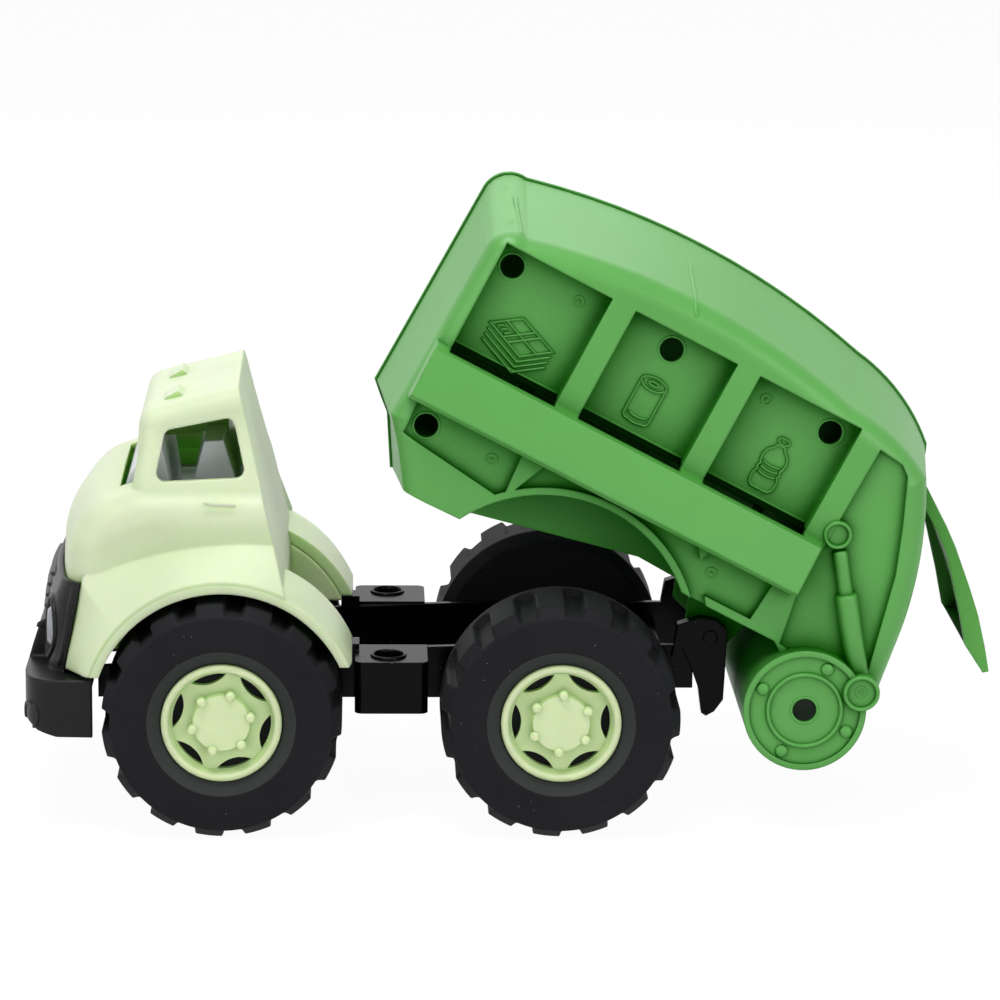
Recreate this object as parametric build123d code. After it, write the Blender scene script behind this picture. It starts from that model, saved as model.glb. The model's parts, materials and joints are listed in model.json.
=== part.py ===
"""Toy refuse truck: cab, chassis, four fat tyres, tipping body in two shells and a hanging tailgate.

Truck frame while modelling: X forward from the rear axle, Y to the truck's left, Z up from the floor.
Cab tables are measured from the front axle and body tables from the rear axle, so both follow the
wheels. The tipping body is modelled lying level and is turned about its pivot pin at the end.
"""

import math
import os

from build123d import *

# ---- whole truck ----
WHEELBASE = 121.0
TYRE_R = 42.9
TYRE_OUT = 77.0
TYRE_WIDTH = 38.0
RIM_R = 21.5
AXLE_R = 3.0
RUN_FIT = 0.05
PIECE_GAP = 0.3
INNER_BEVEL = 0.45
FAR = 200.0

# ---- tyre ----
LUG_COUNT = 15
LUG_NOTCH = 8.6
LUG_CORNER = 2.4
LUG_REACH = 29.0
LUG_DEPTH = (2.5, 3.3)
LUG_PHASE = -6.4
SHOULDER_DROP = 3.8
SHOULDER_RUN = 5.0
BEAD_R = 27.1
BEAD_DEPTH = 3.2

# ---- rim ----
RIM_FACE = 75.0
RIM_BACK = 2.0
RIM_LIP = 2.7
RIM_SUNK = 2.8
DISH_SLOPE = 0.9
HUB_R = 10.7
HUB_RISE = 3.2
HUB_SLOPE = 0.6
LENS_COUNT = 6
LENS_R = 10.9
LENS_AT = 25.1
LENS_OUT = 17.6
LENS_DEPTH = 9.0
FRONT_PHASE = -14.0

# ---- chassis ----
WHEEL_GAP = 6.0
RAIL_WALL = 2.6
RAIL_TOP = (15.9, 18.0)
RAIL_BOTTOM = -2.0
RAIL_REAR = -50.0
RAIL_FRONT_TOP = 9.6
REAR_STEP = (-30.0, 1.8)
SADDLE_R = 6.5
SADDLE_WIDTH = 6.0
TANK_GAP = 4.4
TANK_REACH = 24.0
TANK_LOW = -1.5
TANK_HIGH = 17.6
TANK_WALL = 2.4
TANK_ROUND = 3.0
TANK_HOLE_R = 5.2
TANK_HOLE_IN = 14.0
TANK_HOLE_AHEAD = 1.0
CLIP_LONG = 7.0
CLIP_OUT = 7.0
CLIP_TOP = 20.0
CLIP_HIGH = 6.0
CLIP_HOLE = 2.6
FLOOR_SHEET = 2.5
EAR_WALL = 5.0
CROSS_WALL = 3.0
CROSS_HIGH = 13.0
CROSS_AT = (-40.0, 24.0)
CROSS_FRONT = (-37.0, 36.0)
EAR = [
    (-42.0, 14.0), (-44.0, 26.3), (-52.3, 28.9), (-58.2, 27.9), (-61.9, 24.4), (-62.2, 20.7), (-61.2, -2.0),
    (-58.0, -6.5), (-55.0, -8.2), (-53.2, -7.0), (-51.9, 2.5), (-48.6, 11.6), (-45.9, 17.3),
]

# ---- cab, measured from the front axle ----
CAB_WALL = 2.3
CAB_BASE = 15.5
CAB_SIDE = 57.0
CAB_ROUND = 12.0
CAB_SIDE_VIEW = [(-45.0, 15.5), (-45.0, 79.5), (34.0, 79.5), (50.0, 74.0), (58.6, 61.5), (61.4, 15.5)]
CAB_NOSE_ROUND = 18.0
CAB_BOW = 260.0
TOP_SIDE_VIEW = [(-40.0, 66.0), (-40.0, 123.4), (30.2, 105.2), (31.2, 88.0), (34.6, 66.0)]
TOP_END_VIEW = [(56.0, 66.0), (46.5, 85.5), (40.8, 98.5), (38.8, 128.0)]
TOP_ROUND = 7.0
TOP_BROW = 7.0
TOP_BEND = 38.0
CAB_REAR_VIEW = [(-23.0, -10.0), (-22.6, 42.0), (-3.0, 123.7), (70.0, 123.7), (70.0, -10.0)]
WINDOW = [(24.6, 81.6), (-8.2, 83.2), (-3.4, 104.0), (20.8, 99.2)]
WINDOW_ROUND = 3.0
SCREEN_Z = (70.0, 99.0)
SCREEN_SIDE = 36.0
SCREEN_ROUND = 5.0
SCREEN_FRONT = 37.4
MARKER_X = (14.0, 23.0)
MARKER_Y = (13.0, 27.0)
MARKER_RISE = 1.3
WHEEL_CLEAR = 3.4
FENDER_LIP = 4.3
FENDER_OUT_GAP = 6.0
FENDER_WIDTH = 41.0
FENDER_REAR = -46.3
FENDER_TAPER = (9.0, 1.2)
FENDER_END = (-30.0, 19.5)
CHEEK_TOP = [(51.5, 48.5), (22.9, 58.3), (-17.9, 62.0)]
CHEEK_FRONT = 57.5
CHEEK_REAR = -22.6
CHEEK_ANGLES = (17.0, 41.0, 82.0, 116.6)

# ---- front mask and bumper, measured from the front axle ----
MASK_THICK = 3.2
MASK_ROUND = 24.0
MASK_FRONT_VIEW = [(30.0, 13.9), (30.0, 46.7), (61.3, 46.7), (64.4, 39.0), (65.8, 31.0), (66.4, 13.9)]
MASK_REAR_VIEW = [(50.3, 48.0), (52.6, 36.1), (57.0, 13.9), (90.0, 13.9), (90.0, 60.0), (52.0, 60.0)]
GRILLE_SIDE = 27.0
GRILLE_SLOT = 2.4
GRILLE_PITCH = 4.0
GRILLE_LOW = 25.5
GRILLE_COUNT = 5
GRILLE_DEPTH = 2.2
BUMPER_VIEW = [(0.0, -7.4), (59.0, -7.2), (66.0, -5.4), (71.6, -1.5), (73.4, 3.0), (71.8, 11.0), (69.6, 18.5), (66.6, 27.0),
               (60.0, 27.6), (60.0, 13.6), (0.0, 13.6)]
BUMPER_REAR_GAP = 3.4
BUMPER_SIDE = 68.0
BUMPER_WALL = 3.0
BUMPER_BOW = 4.0
BUMPER_FRONT = 73.4
BUMPER_ROUND = 13.0
BUMPER_STEP_SIDE = 34.0
LAMP_Y = 43.5
LAMP_Z = 27.5
LAMP_R = 8.6
LAMP_FACE = 63.4
LAMP_EDGE = 2.5
FOG = [("place_x", 69.0), ("place_y", 50.0), ("place_z", -1.0), ("radius", 4.2), ("depth", 2.2), ("turn", 25.0)]

# ---- cab insert: floor, seat, dash and screen panel ----
INSERT_FLOOR = 66.0
INSERT_SHEET = 2.0
SEAT = [(-4.4, 66.0), (-3.6, 80.0), (0.4, 93.0), (7.4, 92.6), (11.0, 79.5), (11.8, 66.0)]
SEAT_SIDE = 29.0
DASH = [(18.0, 66.0), (20.0, 79.0), (23.6, 96.4), (26.2, 96.4), (30.0, 87.0), (33.8, 81.5), (35.8, 76.5), (36.2, 66.0)]
DASH_SIDE = 33.0

# ---- tipping body, level, measured from the rear axle ----
TILT = 27.5
PIVOT = (-56.0, 21.5)
PIVOT_R = 2.5
SHELL = 2.3
BODY_SIDE = 61.0
BODY_ROUND = 8.0
ROUND_FROM = (68.0, 60.0)
EDGE_EXTRA = 2.3
# Each row: corner X, corner Z, then the middle of the arc that leads to it, if it is one.
SEAM_ROWS = [
    (72.6, 17.0, None, None), (83.4, 35.1, None, None), (93.1, 43.6, None, None), (91.2, 124.0, None, None),
    (79.5, 134.4, 88.3, 131.6), (-58.9, 134.6, 10.0, 142.9), (-97.9, 116.5, -81.0, 127.9),
    (-113.6, 60.0, -108.6, 89.0), (-116.6, 31.0, None, None), (-93.0, 17.0, None, None),
    (-72.0, 33.0, None, None), (-40.0, 34.0, None, None), (-18.0, 34.6, None, None), (41.0, 20.8, None, None),
]
SIDE_ROWS = [
    (71.0, 22.5, None, None), (79.6, 34.6, None, None), (87.4, 44.6, None, None), (85.6, 111.6, None, None),
    (74.5, 121.6, 82.8, 119.0), (-56.0, 121.9, 10.0, 130.1), (-91.6, 112.6, -75.0, 119.3),
    (-112.0, 58.7, -104.4, 86.5), (-116.0, 31.0, None, None), (-93.0, 20.5, None, None),
    (-72.0, 36.0, None, None), (-40.0, 36.0, None, None), (-18.0, 37.0, None, None), (45.0, 23.2, None, None),
]
PANEL_X = [(38.8, 81.0), (-11.6, 29.6), (-62.1, -20.6)]
PANEL_Z = (75.6, 118.5)
PANEL_SIDE = 54.0
PANEL_FREE_EDGE = 1.4
LEDGE_X = (-69.4, 86.4)
LEDGE_END = [(61.0, 76.4), (66.0, 74.4), (69.0, 56.4), (67.0, 54.8), (58.0, 54.2)]
LEDGE_DEEP = 16.0
HOLE_R = 4.3
HOLE_END = 30.0
HOLES = [(74.9, 111.3), (10.7, 111.3), (-53.9, 111.3), (75.4, 47.3)]
ARCH_GAP = 10.0
ARCH_SHIFT = (2.7, -2.1)
ARCH_BAND = 2.6
WELL_GAP = 3.0
LOW_PANEL_DEPTH = 2.6
LOW_PANELS = [
    [(82.4, 55.4), (40.6, 55.4), (39.2, 36.5), (81.6, 41.5)],
    [(-36.0, 55.4), (-61.4, 55.4), (-60.3, 39.0), (-30.0, 39.0)],
    [(31.0, 55.4), (-30.0, 55.4), (-48.0, 30.0), (42.0, 30.0)],
]
REAR_PANEL = [
    (-71.4, 115.0), (-81.4, 113.8), (-85.0, 110.8), (-92.4, 94.0), (-98.8, 77.3), (-107.2, 42.6), (-104.0, 32.0),
    (-74.0, 36.0), (-70.6, 55.0),
]
REAR_PANEL_DEPTH = 2.2
RAM_EYE = (-73.0, 80.8)
RAM_EYE_R = 5.2
RAM_FOOT = (-107.9, 34.6)
RAM_FOOT_R = 6.6
RAM_JOINT = 0.39
RAM_ROD = 2.3
RAM_BARREL = 3.6
RAM_RISE = 3.0
DRUM = (-93.0, 19.4)
DRUM_R = 22.2
DRUM_SIDE = 65.5
DRUM_RIM = 2.2
DRUM_RING_RISE = 0.9
LUG_PLATE = [(-68.0, 35.5), (-62.0, 17.0), (-56.0, 14.6), (-48.0, 17.0), (-41.0, 35.5)]
LUG_PLATE_WALL = 5.0
PLATE_GAP = 0.6

# ---- tailgate, closed on the level body, measured from the rear axle ----
GATE_HALF = 32.0
GATE_GAP = 1.0
JAMB_WALL = 2.3
GATE_PIN = (-92.0, 107.0)
GATE_PIN_R = 1.6
GATE_BARREL_R = 3.0
GATE_OPEN = 34.0
GATE_WALL = 2.2
GATE_BACK = [
    (-93.5, 110.1), (-98.2, 102.9), (-104.3, 87.2), (-106.8, 79.5), (-110.8, 63.5), (-113.1, 52.7),
    (-114.6, 40.5), (-115.3, 31.1),
]
GATE_FRONT = [
    (-90.0, 104.0), (-94.6, 99.5), (-100.8, 85.5), (-103.4, 76.5), (-106.0, 56.5), (-107.3, 42.0),
    (-113.0, 30.9),
]
MOUTH = [(-130.0, 113.0), (-86.0, 113.0), (-86.0, 43.0), (-105.5, 43.0), (-112.8, 29.9), (-130.0, 27.5)]

# Places that follow from the sizes above.
RAIL_Y = TYRE_OUT - TYRE_WIDTH - WHEEL_GAP
WELL_SIDE = TYRE_OUT - TYRE_WIDTH - WELL_GAP
ARCH_R = TYRE_R + ARCH_GAP
WHEEL_WELL_R = TYRE_R + WHEEL_CLEAR
FENDER_R = WHEEL_WELL_R + FENDER_LIP
FENDER_OUT = TYRE_OUT - FENDER_OUT_GAP
FENDER_IN = FENDER_OUT - FENDER_WIDTH


# ---- small makers ----

def prism(points, y0, y1):
    """Polygon of (X, Z) points filled from y0 to y1."""
    face = Plane.XZ * make_face(Polyline(*points, close=True))
    return Pos(0, y0, 0) * extrude(face, y1 - y0, dir=(0, 1, 0))


def slab(x, y, z):
    """Box between three (low, high) pairs."""
    size = [b - a for a, b in (x, y, z)]
    mid = [(a + b) / 2 for a, b in (x, y, z)]
    return Pos(*mid) * Box(*size)


def rod(x, z, radius, y0, y1):
    """Cylinder along Y."""
    return Pos(x, (y0 + y1) / 2, z) * Rot(90, 0, 0) * Cylinder(radius, abs(y1 - y0))


def stub(y, z, radius, x0, x1):
    """Cylinder along X."""
    return Pos((x0 + x1) / 2, y, z) * Rot(0, 90, 0) * Cylinder(radius, abs(x1 - x0))


def both(shape):
    """The shape and its mirror image across the middle."""
    return shape + mirror(shape, Plane.XZ)


def turned(profile):
    """Profile of (radius, Y) points turned about the Y axis."""
    face = Plane.XY * make_face(Polyline(*profile, close=True))
    return revolve(face, Axis.Y, 360)


def spun(shape, centre, degrees):
    """Shape turned about an axis along Y; positive lifts its front."""
    x, z = centre
    return Pos(x, 0, z) * Rot(0, -degrees, 0) * Pos(-x, 0, -z) * shape


def moved_in(points, amount):
    """Closed polygon with every side moved inwards by the amount."""
    area = sum(a[0] * b[1] - b[0] * a[1] for a, b in zip(points, points[1:] + points[:1]))
    turn = 1 if area > 0 else -1
    result = []
    for before, here, after in zip(points[-1:] + points[:-1], points, points[1:] + points[:1]):
        normals = []
        for a, b in ((before, here), (here, after)):
            length = math.hypot(b[0] - a[0], b[1] - a[1])
            normals.append((-(b[1] - a[1]) / length * turn, (b[0] - a[0]) / length * turn))
        (ax, az), (bx, bz) = normals
        scale = amount / (1 + ax * bx + az * bz)
        result.append((here[0] + (ax + bx) * scale, here[1] + (az + bz) * scale))
    return result


# ---- wheels ----

def tyre():
    """Tyre about the Y axis with road grooves cut in from its outer shoulder."""
    y0, y1 = TYRE_OUT - TYRE_WIDTH, TYRE_OUT
    edge = TYRE_R - SHOULDER_DROP
    ring = turned([
        (RIM_R, y0), (edge, y0), (TYRE_R, y0 + SHOULDER_RUN), (TYRE_R, y1 - SHOULDER_RUN),
        (edge, y1), (BEAD_R, y1), (RIM_R, y1 - BEAD_DEPTH),
    ])
    half, inner = LUG_NOTCH / 2, y1 - LUG_REACH
    plan = make_face(Polyline((-half, y1 + 1), (-half, inner + LUG_CORNER), (LUG_CORNER - half, inner),
                              (half - LUG_CORNER, inner), (half, inner + LUG_CORNER), (half, y1 + 1), close=True))
    shallow, deep = (TYRE_R - depth for depth in LUG_DEPTH)
    floor = make_face(Polyline((inner - 1, shallow), (y1 + 1, deep), (y1 + 1, 0), (inner - 1, 0), close=True))
    under = Pos(-TYRE_R, 0, 0) * extrude(Plane.YZ * floor, 2 * TYRE_R)
    groove = extrude(plan, TYRE_R + 1) - under
    return ring - [Rot(0, 360 / LUG_COUNT * i, 0) * groove for i in range(LUG_COUNT)]


def rim():
    """Wheel rim about the Y axis: dished face with lens pockets round a raised hub."""
    back, dish = TYRE_OUT - TYRE_WIDTH + RIM_BACK, RIM_FACE - RIM_SUNK
    hub = dish + HUB_RISE
    body = turned([
        (AXLE_R, back), (RIM_R, back), (RIM_R, RIM_FACE), (RIM_R - RIM_LIP, RIM_FACE),
        (RIM_R - RIM_LIP - DISH_SLOPE, dish), (HUB_R, dish), (HUB_R - HUB_SLOPE, hub), (0, hub),
        (0, dish - RIM_SUNK), (AXLE_R, dish - RIM_SUNK),
    ])
    low = dish - LENS_DEPTH
    lens = rod(0, LENS_AT, LENS_R, low, RIM_FACE) & rod(0, 0, LENS_OUT, low, RIM_FACE)
    return body - [Rot(0, 360 / LENS_COUNT * (i + 0.5), 0) * lens for i in range(LENS_COUNT)]


def axle():
    """Plain axle held in both rims."""
    half = RIM_FACE - 2 * RIM_SUNK - PIECE_GAP
    return rod(0, 0, AXLE_R, -half, half)


def pair(place, shape):
    """A left piece and its mirror image at their place, as one node of two solids."""
    return Compound([place * shape, place * mirror(shape, Plane.XZ)])


def wheel_set(name, x, phase):
    """Both wheels of one axle at their place, as parts of one turning body."""
    place = Pos(x, 0, TYRE_R)
    tyres, rims = pair(place * Rot(0, LUG_PHASE, 0), tyre()), pair(place * Rot(0, phase, 0), rim())
    return {name + "_tyres": tyres, name + "_rims": rims, name + "_axle": place * axle()}


# ---- chassis ----

def tank():
    """Side tank with its filler hole, open below."""
    x = (TYRE_R + TANK_GAP, WHEELBASE - TYRE_R - TANK_GAP)
    y = (RAIL_Y - RAIL_WALL / 2, RAIL_Y + TANK_REACH)
    body = slab(x, y, (TANK_LOW, TANK_HIGH))
    body = fillet(body.edges().filter_by(Axis.Z).group_by(Axis.Y)[-1], TANK_ROUND)
    body -= slab((x[0] + TANK_WALL, x[1] - TANK_WALL), (RAIL_Y, y[1] - TANK_WALL),
                 (TANK_LOW - TANK_WALL, TANK_HIGH - TANK_WALL))
    hole = Pos(sum(x) / 2 + TANK_HOLE_AHEAD, RAIL_Y + TANK_HOLE_IN, TANK_HIGH)
    return body - hole * Cylinder(TANK_HOLE_R, TANK_HIGH / 2)


def clip(x0):
    """Clip block that catches the cab, with its latch hole."""
    y = (RAIL_Y - RAIL_WALL, RAIL_Y + CLIP_OUT)
    z = (CLIP_TOP - CLIP_HIGH, CLIP_TOP)
    block = slab((x0, x0 + CLIP_LONG), y, z)
    mid_x, mid_z = x0 + CLIP_LONG * 0.6, CLIP_TOP - CLIP_HIGH / 2
    return block - slab((mid_x, mid_x + CLIP_HOLE), (RAIL_Y, y[1] + CLIP_HOLE), (mid_z - CLIP_HOLE / 2, mid_z + CLIP_HOLE / 2))


def chassis():
    """Open channel chassis with side tanks, clip blocks, axle saddles and rear ears."""
    front, front_tank = WHEELBASE + TYRE_R + BUMPER_REAR_GAP, WHEELBASE - TYRE_R
    side = [(front, RAIL_BOTTOM), (front, RAIL_FRONT_TOP), (front_tank, RAIL_TOP[0]), (TYRE_R / 2, RAIL_TOP[1]),
            (RAIL_REAR, RAIL_TOP[1]), (RAIL_REAR, REAR_STEP[1]), (REAR_STEP[0], REAR_STEP[1]),
            (REAR_STEP[0], RAIL_BOTTOM)]
    body = prism(side, RAIL_Y - RAIL_WALL, RAIL_Y)
    body += prism(EAR, RAIL_Y - RAIL_WALL, RAIL_Y - RAIL_WALL + EAR_WALL)
    body += tank()
    body += clip(front_tank - CLIP_LONG + 1.0)
    body = both(body)
    inside = (-RAIL_Y + RAIL_WALL / 2, RAIL_Y - RAIL_WALL / 2)
    for x in CROSS_AT + tuple(WHEELBASE + x for x in CROSS_FRONT):
        low = REAR_STEP[1] if x < REAR_STEP[0] else RAIL_BOTTOM
        body += slab((x, x + CROSS_WALL), inside, (low, RAIL_BOTTOM + CROSS_HIGH))
    floor = (CROSS_AT[1], WHEELBASE + CROSS_FRONT[0] + CROSS_WALL)
    body += slab(floor, inside, (RAIL_BOTTOM, RAIL_BOTTOM + FLOOR_SHEET))
    for x in (0, WHEELBASE):
        body += both(slab((x - SADDLE_R, x + SADDLE_R), (RAIL_Y - SADDLE_WIDTH, RAIL_Y), (RAIL_BOTTOM, SADDLE_R)))
        body -= rod(x, 0, AXLE_R + RUN_FIT, -RAIL_Y - RAIL_WALL, RAIL_Y + RAIL_WALL)
    reach = RAIL_Y + EAR_WALL
    body -= rod(*PIVOT, PIVOT_R + RUN_FIT, -reach, reach)
    return Pos(0, 0, TYRE_R) * body


# ---- cab ----

def bowed(face, half):
    """Side view swept round a far upright axis, so its front bows, and cut to a half width."""
    axis = Axis((-CAB_BOW, 0, 0), (0, 0, 1))
    reach = math.degrees(math.asin(1.5 * half / CAB_BOW))
    block = revolve(face.rotate(axis, -reach), axis, 2 * reach)
    return block & slab((-FAR, FAR), (-half, half), (-FAR, FAR))


def nose_block(grow):
    """Lower cab and hood as a rounded block, grown outwards by the amount."""
    face = make_face(Polyline(*moved_in(CAB_SIDE_VIEW, -grow), close=True))
    corners = [v for v in face.vertices() if v.X > 0 and v.Y > CAB_BASE + 10]
    half = CAB_SIDE + grow
    block = bowed(Plane.XZ * fillet(corners, CAB_NOSE_ROUND + grow), half)
    edges = [e for e in block.edges() if abs(abs(e.center().Y) - half) < 0.01
             and e.center().Z > CAB_BASE - grow + 1 and e.center().X > CAB_SIDE_VIEW[0][0] - grow + 2]
    return fillet(edges, CAB_ROUND + grow) if grow >= 0 else chamfer(edges, INNER_BEVEL * CAB_ROUND)


def top_block(grow):
    """Upper cab: tapered sides, leaning screen and sloping roof."""
    side = make_face(Polyline(*moved_in(TOP_SIDE_VIEW, -grow), close=True))
    brow, sill = TOP_SIDE_VIEW[2], TOP_SIDE_VIEW[3]
    side = fillet(side.vertices().sort_by_distance((*brow, 0))[0], TOP_BROW + grow)
    side = fillet(side.vertices().sort_by_distance((*sill, 0))[0], TOP_BEND)
    ends = [(y, z) for y, z in TOP_END_VIEW] + [(-y, z) for y, z in TOP_END_VIEW[::-1]]
    end = make_face(Polyline(*moved_in(ends, -grow), close=True))
    low, high = TOP_END_VIEW[0][1], TOP_END_VIEW[-1][1]
    end = fillet([v for v in end.vertices() if low + 5 < v.Y < high - 5], TOP_BEND)
    block = Pos(0, -FAR, 0) * extrude(Plane.XZ * side, 2 * FAR, dir=(0, 1, 0))
    block &= Pos(-FAR, 0, 0) * extrude(Plane.YZ * end, 2 * FAR)
    back = TOP_SIDE_VIEW[0][0] - grow + 1
    edges = []
    for e in block.edges():
        size = e.bounding_box().size
        if min(size.X, size.Y + size.Z) > 0.5 and e.center().X > back and e.center().Z > low:
            edges.append(e)
    return fillet(edges, TOP_ROUND + grow) if grow >= 0 else chamfer(edges, INNER_BEVEL * TOP_ROUND)


def cheek():
    """Fender side that slopes from the cab's flank out to the wheel lip."""
    a, b, c = CHEEK_TOP
    floor = CAB_BASE
    inner = [Line((CHEEK_REAR, floor), (CHEEK_FRONT, floor)), Line((CHEEK_FRONT, floor), a),
             ThreePointArc(a, b, c), Line(c, (CHEEK_REAR, floor))]
    g = [(FENDER_R * math.cos(math.radians(t)), FENDER_R * math.sin(math.radians(t))) for t in CHEEK_ANGLES]
    mid = math.radians((CHEEK_ANGLES[0] + CHEEK_ANGLES[1]) / 2)
    front_mid = (FENDER_R * math.cos(mid), FENDER_R * math.sin(mid))
    start = (g[3][0], floor)
    outer = [Line(start, g[0]), ThreePointArc(g[0], front_mid, g[1]), ThreePointArc(g[1], g[2], g[3]), Line(g[3], start)]
    faces = []
    for edges, y in ((inner, CAB_SIDE - 1.0), (outer, FENDER_OUT - 0.6)):
        faces.append(Pos(0, y, 0) * (Plane.XZ * make_face(Wire([e.edge() for e in edges]))))
    return loft(faces, ruled=True) - prism(moved_in(MASK_REAR_VIEW, -PIECE_GAP), 0, FAR)


def cab():
    """Hollow cab with wheel arches, open below."""
    outer = nose_block(0) + top_block(0)
    inner = nose_block(-CAB_WALL) + top_block(-CAB_WALL)
    inner += Pos(0, 0, -2 * CAB_WALL) * nose_block(-CAB_WALL)
    rear = prism(CAB_REAR_VIEW, -FAR, FAR)
    inner_rear = prism(moved_in(CAB_REAR_VIEW, CAB_WALL), -FAR, FAR)
    outer, inner = outer & rear, inner & inner_rear
    arch = turned([(0, FENDER_IN), (FENDER_R, FENDER_IN), (FENDER_R, FENDER_OUT - FENDER_TAPER[0]),
                   (FENDER_R - FENDER_TAPER[1], FENDER_OUT), (0, FENDER_OUT)])
    outer = outer + both(cheek() + arch)
    case = rod(0, 0, WHEEL_WELL_R + CAB_WALL, FENDER_IN - CAB_WALL, FAR)
    well = rod(0, 0, WHEEL_WELL_R, FENDER_IN, FAR)
    shell = (outer - (inner - both(case))) - both(well)
    shell &= slab((FENDER_REAR, FAR), (-FAR, FAR), (CAB_BASE, FAR))
    shell -= slab((-FAR, FENDER_END[0]), (-FAR, FAR), (0, FENDER_END[1]))
    window = make_face(Polyline(*WINDOW, close=True))
    window = Plane.XZ * fillet(window.vertices(), WINDOW_ROUND)
    shell -= Pos(0, -FAR, 0) * extrude(window, 2 * FAR, dir=(0, 1, 0))
    screen = Plane.YZ * Pos(0, sum(SCREEN_Z) / 2) * RectangleRounded(2 * SCREEN_SIDE, SCREEN_Z[1] - SCREEN_Z[0], SCREEN_ROUND)
    shell -= Pos(SEAT[-1][0] + 5, 0, 0) * extrude(screen, SCREEN_FRONT - SEAT[-1][0] - 5)
    top = TOP_SIDE_VIEW[1][1] - TOP_SIDE_VIEW[2][1]
    slope = top / (TOP_SIDE_VIEW[2][0] - TOP_SIDE_VIEW[1][0])
    for y0, y1 in (MARKER_Y, (-MARKER_Y[1], -MARKER_Y[0])):
        line = [(x, TOP_SIDE_VIEW[1][1] - slope * (x - TOP_SIDE_VIEW[1][0])) for x in MARKER_X]
        (xa, za), (xb, zb) = line
        bump = [(xa, za - 1), (xb, zb - 1), (xb - 2, zb + MARKER_RISE), (xa + 3, za + MARKER_RISE)]
        shell += prism(bump, y0, y1)
    slot = CLIP_OUT + 1.0
    shell -= slab((-CLIP_LONG * 8, CAB_REAR_VIEW[1][0] + CAB_WALL + 1), (-RAIL_Y - slot, RAIL_Y + slot),
                  (0, CLIP_TOP + PIECE_GAP))
    return Pos(WHEELBASE, 0, TYRE_R) * shell


def mask_view(inset):
    """Side view of the mask's front, with its two bends rounded."""
    face = make_face(Polyline(*moved_in(MASK_FRONT_VIEW, inset), close=True))
    bends = [v for v in face.vertices() if MASK_FRONT_VIEW[-1][1] + 5 < v.Y < MASK_FRONT_VIEW[1][1] - 5]
    return fillet(bends, MASK_ROUND - inset)


def mask():
    """Front mask that wraps the nose, with its grille slots and lamp openings."""
    half = CAB_SIDE + MASK_THICK
    block = bowed(Plane.XZ * mask_view(0), half)
    edges = [e for e in block.edges() if abs(abs(e.center().Y) - half) < 0.01
             and CAB_BASE < e.center().Z < MASK_FRONT_VIEW[1][1] - 1 and e.center().X > MASK_FRONT_VIEW[0][0] + 2]
    block = fillet(edges, CAB_ROUND + MASK_THICK)
    keep = bowed(Plane.XZ * mask_view(GRILLE_DEPTH), half)
    for i in range(GRILLE_COUNT):
        z = GRILLE_LOW + i * GRILLE_PITCH
        block -= slab((0, FAR), (-GRILLE_SIDE, GRILLE_SIDE), (z, z + GRILLE_SLOT)) - keep
    block = (block & prism(MASK_REAR_VIEW, -FAR, FAR)) - nose_block(PIECE_GAP)
    for y in (LAMP_Y, -LAMP_Y):
        block -= stub(y, LAMP_Z, LAMP_R + PIECE_GAP, 0, FAR)
    return block


def bumper_bar():
    """Rounded hollow bar below the mask, with its raised middle and fog lamp hollows."""
    rear, half, top = TYRE_R + BUMPER_REAR_GAP, BUMPER_SIDE, BUMPER_VIEW[-1][1]
    bar = prism([(max(x, rear), z) for x, z in BUMPER_VIEW], -half, half)
    corner = BUMPER_FRONT - BUMPER_BOW
    plan = make_face([
        Line((0, -half), (0, half)).edge(), Line((0, half), (corner, half)).edge(),
        ThreePointArc((corner, half), (BUMPER_FRONT, 0), (corner, -half)).edge(),
        Line((corner, -half), (0, -half)).edge(),
    ])
    front = [v for v in plan.vertices() if v.X > corner - 1]
    bar &= Pos(0, 0, -FAR) * extrude(fillet(front, BUMPER_ROUND), 2 * FAR)
    bar -= both(slab((0, FAR), (BUMPER_STEP_SIDE, FAR), (top, FAR)))
    inside = half - BUMPER_WALL
    bar -= slab((0, corner - BUMPER_ROUND), (-inside, inside), (BUMPER_VIEW[0][1] - 1, top - BUMPER_WALL))
    fog = dict(FOG)
    hollow = Pos(fog["place_x"], fog["place_y"], fog["place_z"]) * Rot(0, 0, fog["turn"])
    return bar - both(hollow * stub(0, 0, fog["radius"], -fog["depth"], FAR)) - nose_block(PIECE_GAP)


def bumper():
    """Front bumper in one piece with the mask above it."""
    return Pos(WHEELBASE, 0, TYRE_R) * (mask() + bumper_bar())


def headlight(side):
    """Round lamp lens in its ring."""
    lens = stub(side * LAMP_Y, LAMP_Z, LAMP_R, CAB_SIDE_VIEW[-1][0] - CAB_ROUND, LAMP_FACE)
    lens = chamfer(lens.edges().group_by(Axis.X)[-1], LAMP_EDGE)
    return Pos(WHEELBASE, 0, TYRE_R) * (lens - nose_block(PIECE_GAP))


def cab_insert():
    """Floor, seat back and dash seen through the cab's windows."""
    rear, front = SEAT[0][0] - 8, DASH[1][0] + 3
    side = CAB_SIDE - CAB_WALL - PIECE_GAP
    base = slab((rear, front), (-side, side), (INSERT_FLOOR - INSERT_SHEET, INSERT_FLOOR))
    piece = base + prism(SEAT, -SEAT_SIDE, SEAT_SIDE) + prism(DASH, -DASH_SIDE, DASH_SIDE)
    return Pos(WHEELBASE, 0, TYRE_R) * piece


# ---- tipping body ----

def outline(rows):
    """Closed face from rows of corners and arc middles."""
    edges = []
    for (x0, z0, _, _), (x1, z1, mx, mz) in zip(rows, rows[1:] + rows[:1]):
        if mx is None:
            edges.append(Line((x0, z0), (x1, z1)).edge())
        else:
            edges.append(ThreePointArc((x0, z0), (mx, mz), (x1, z1)).edge())
    return make_face(Wire(edges))


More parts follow.
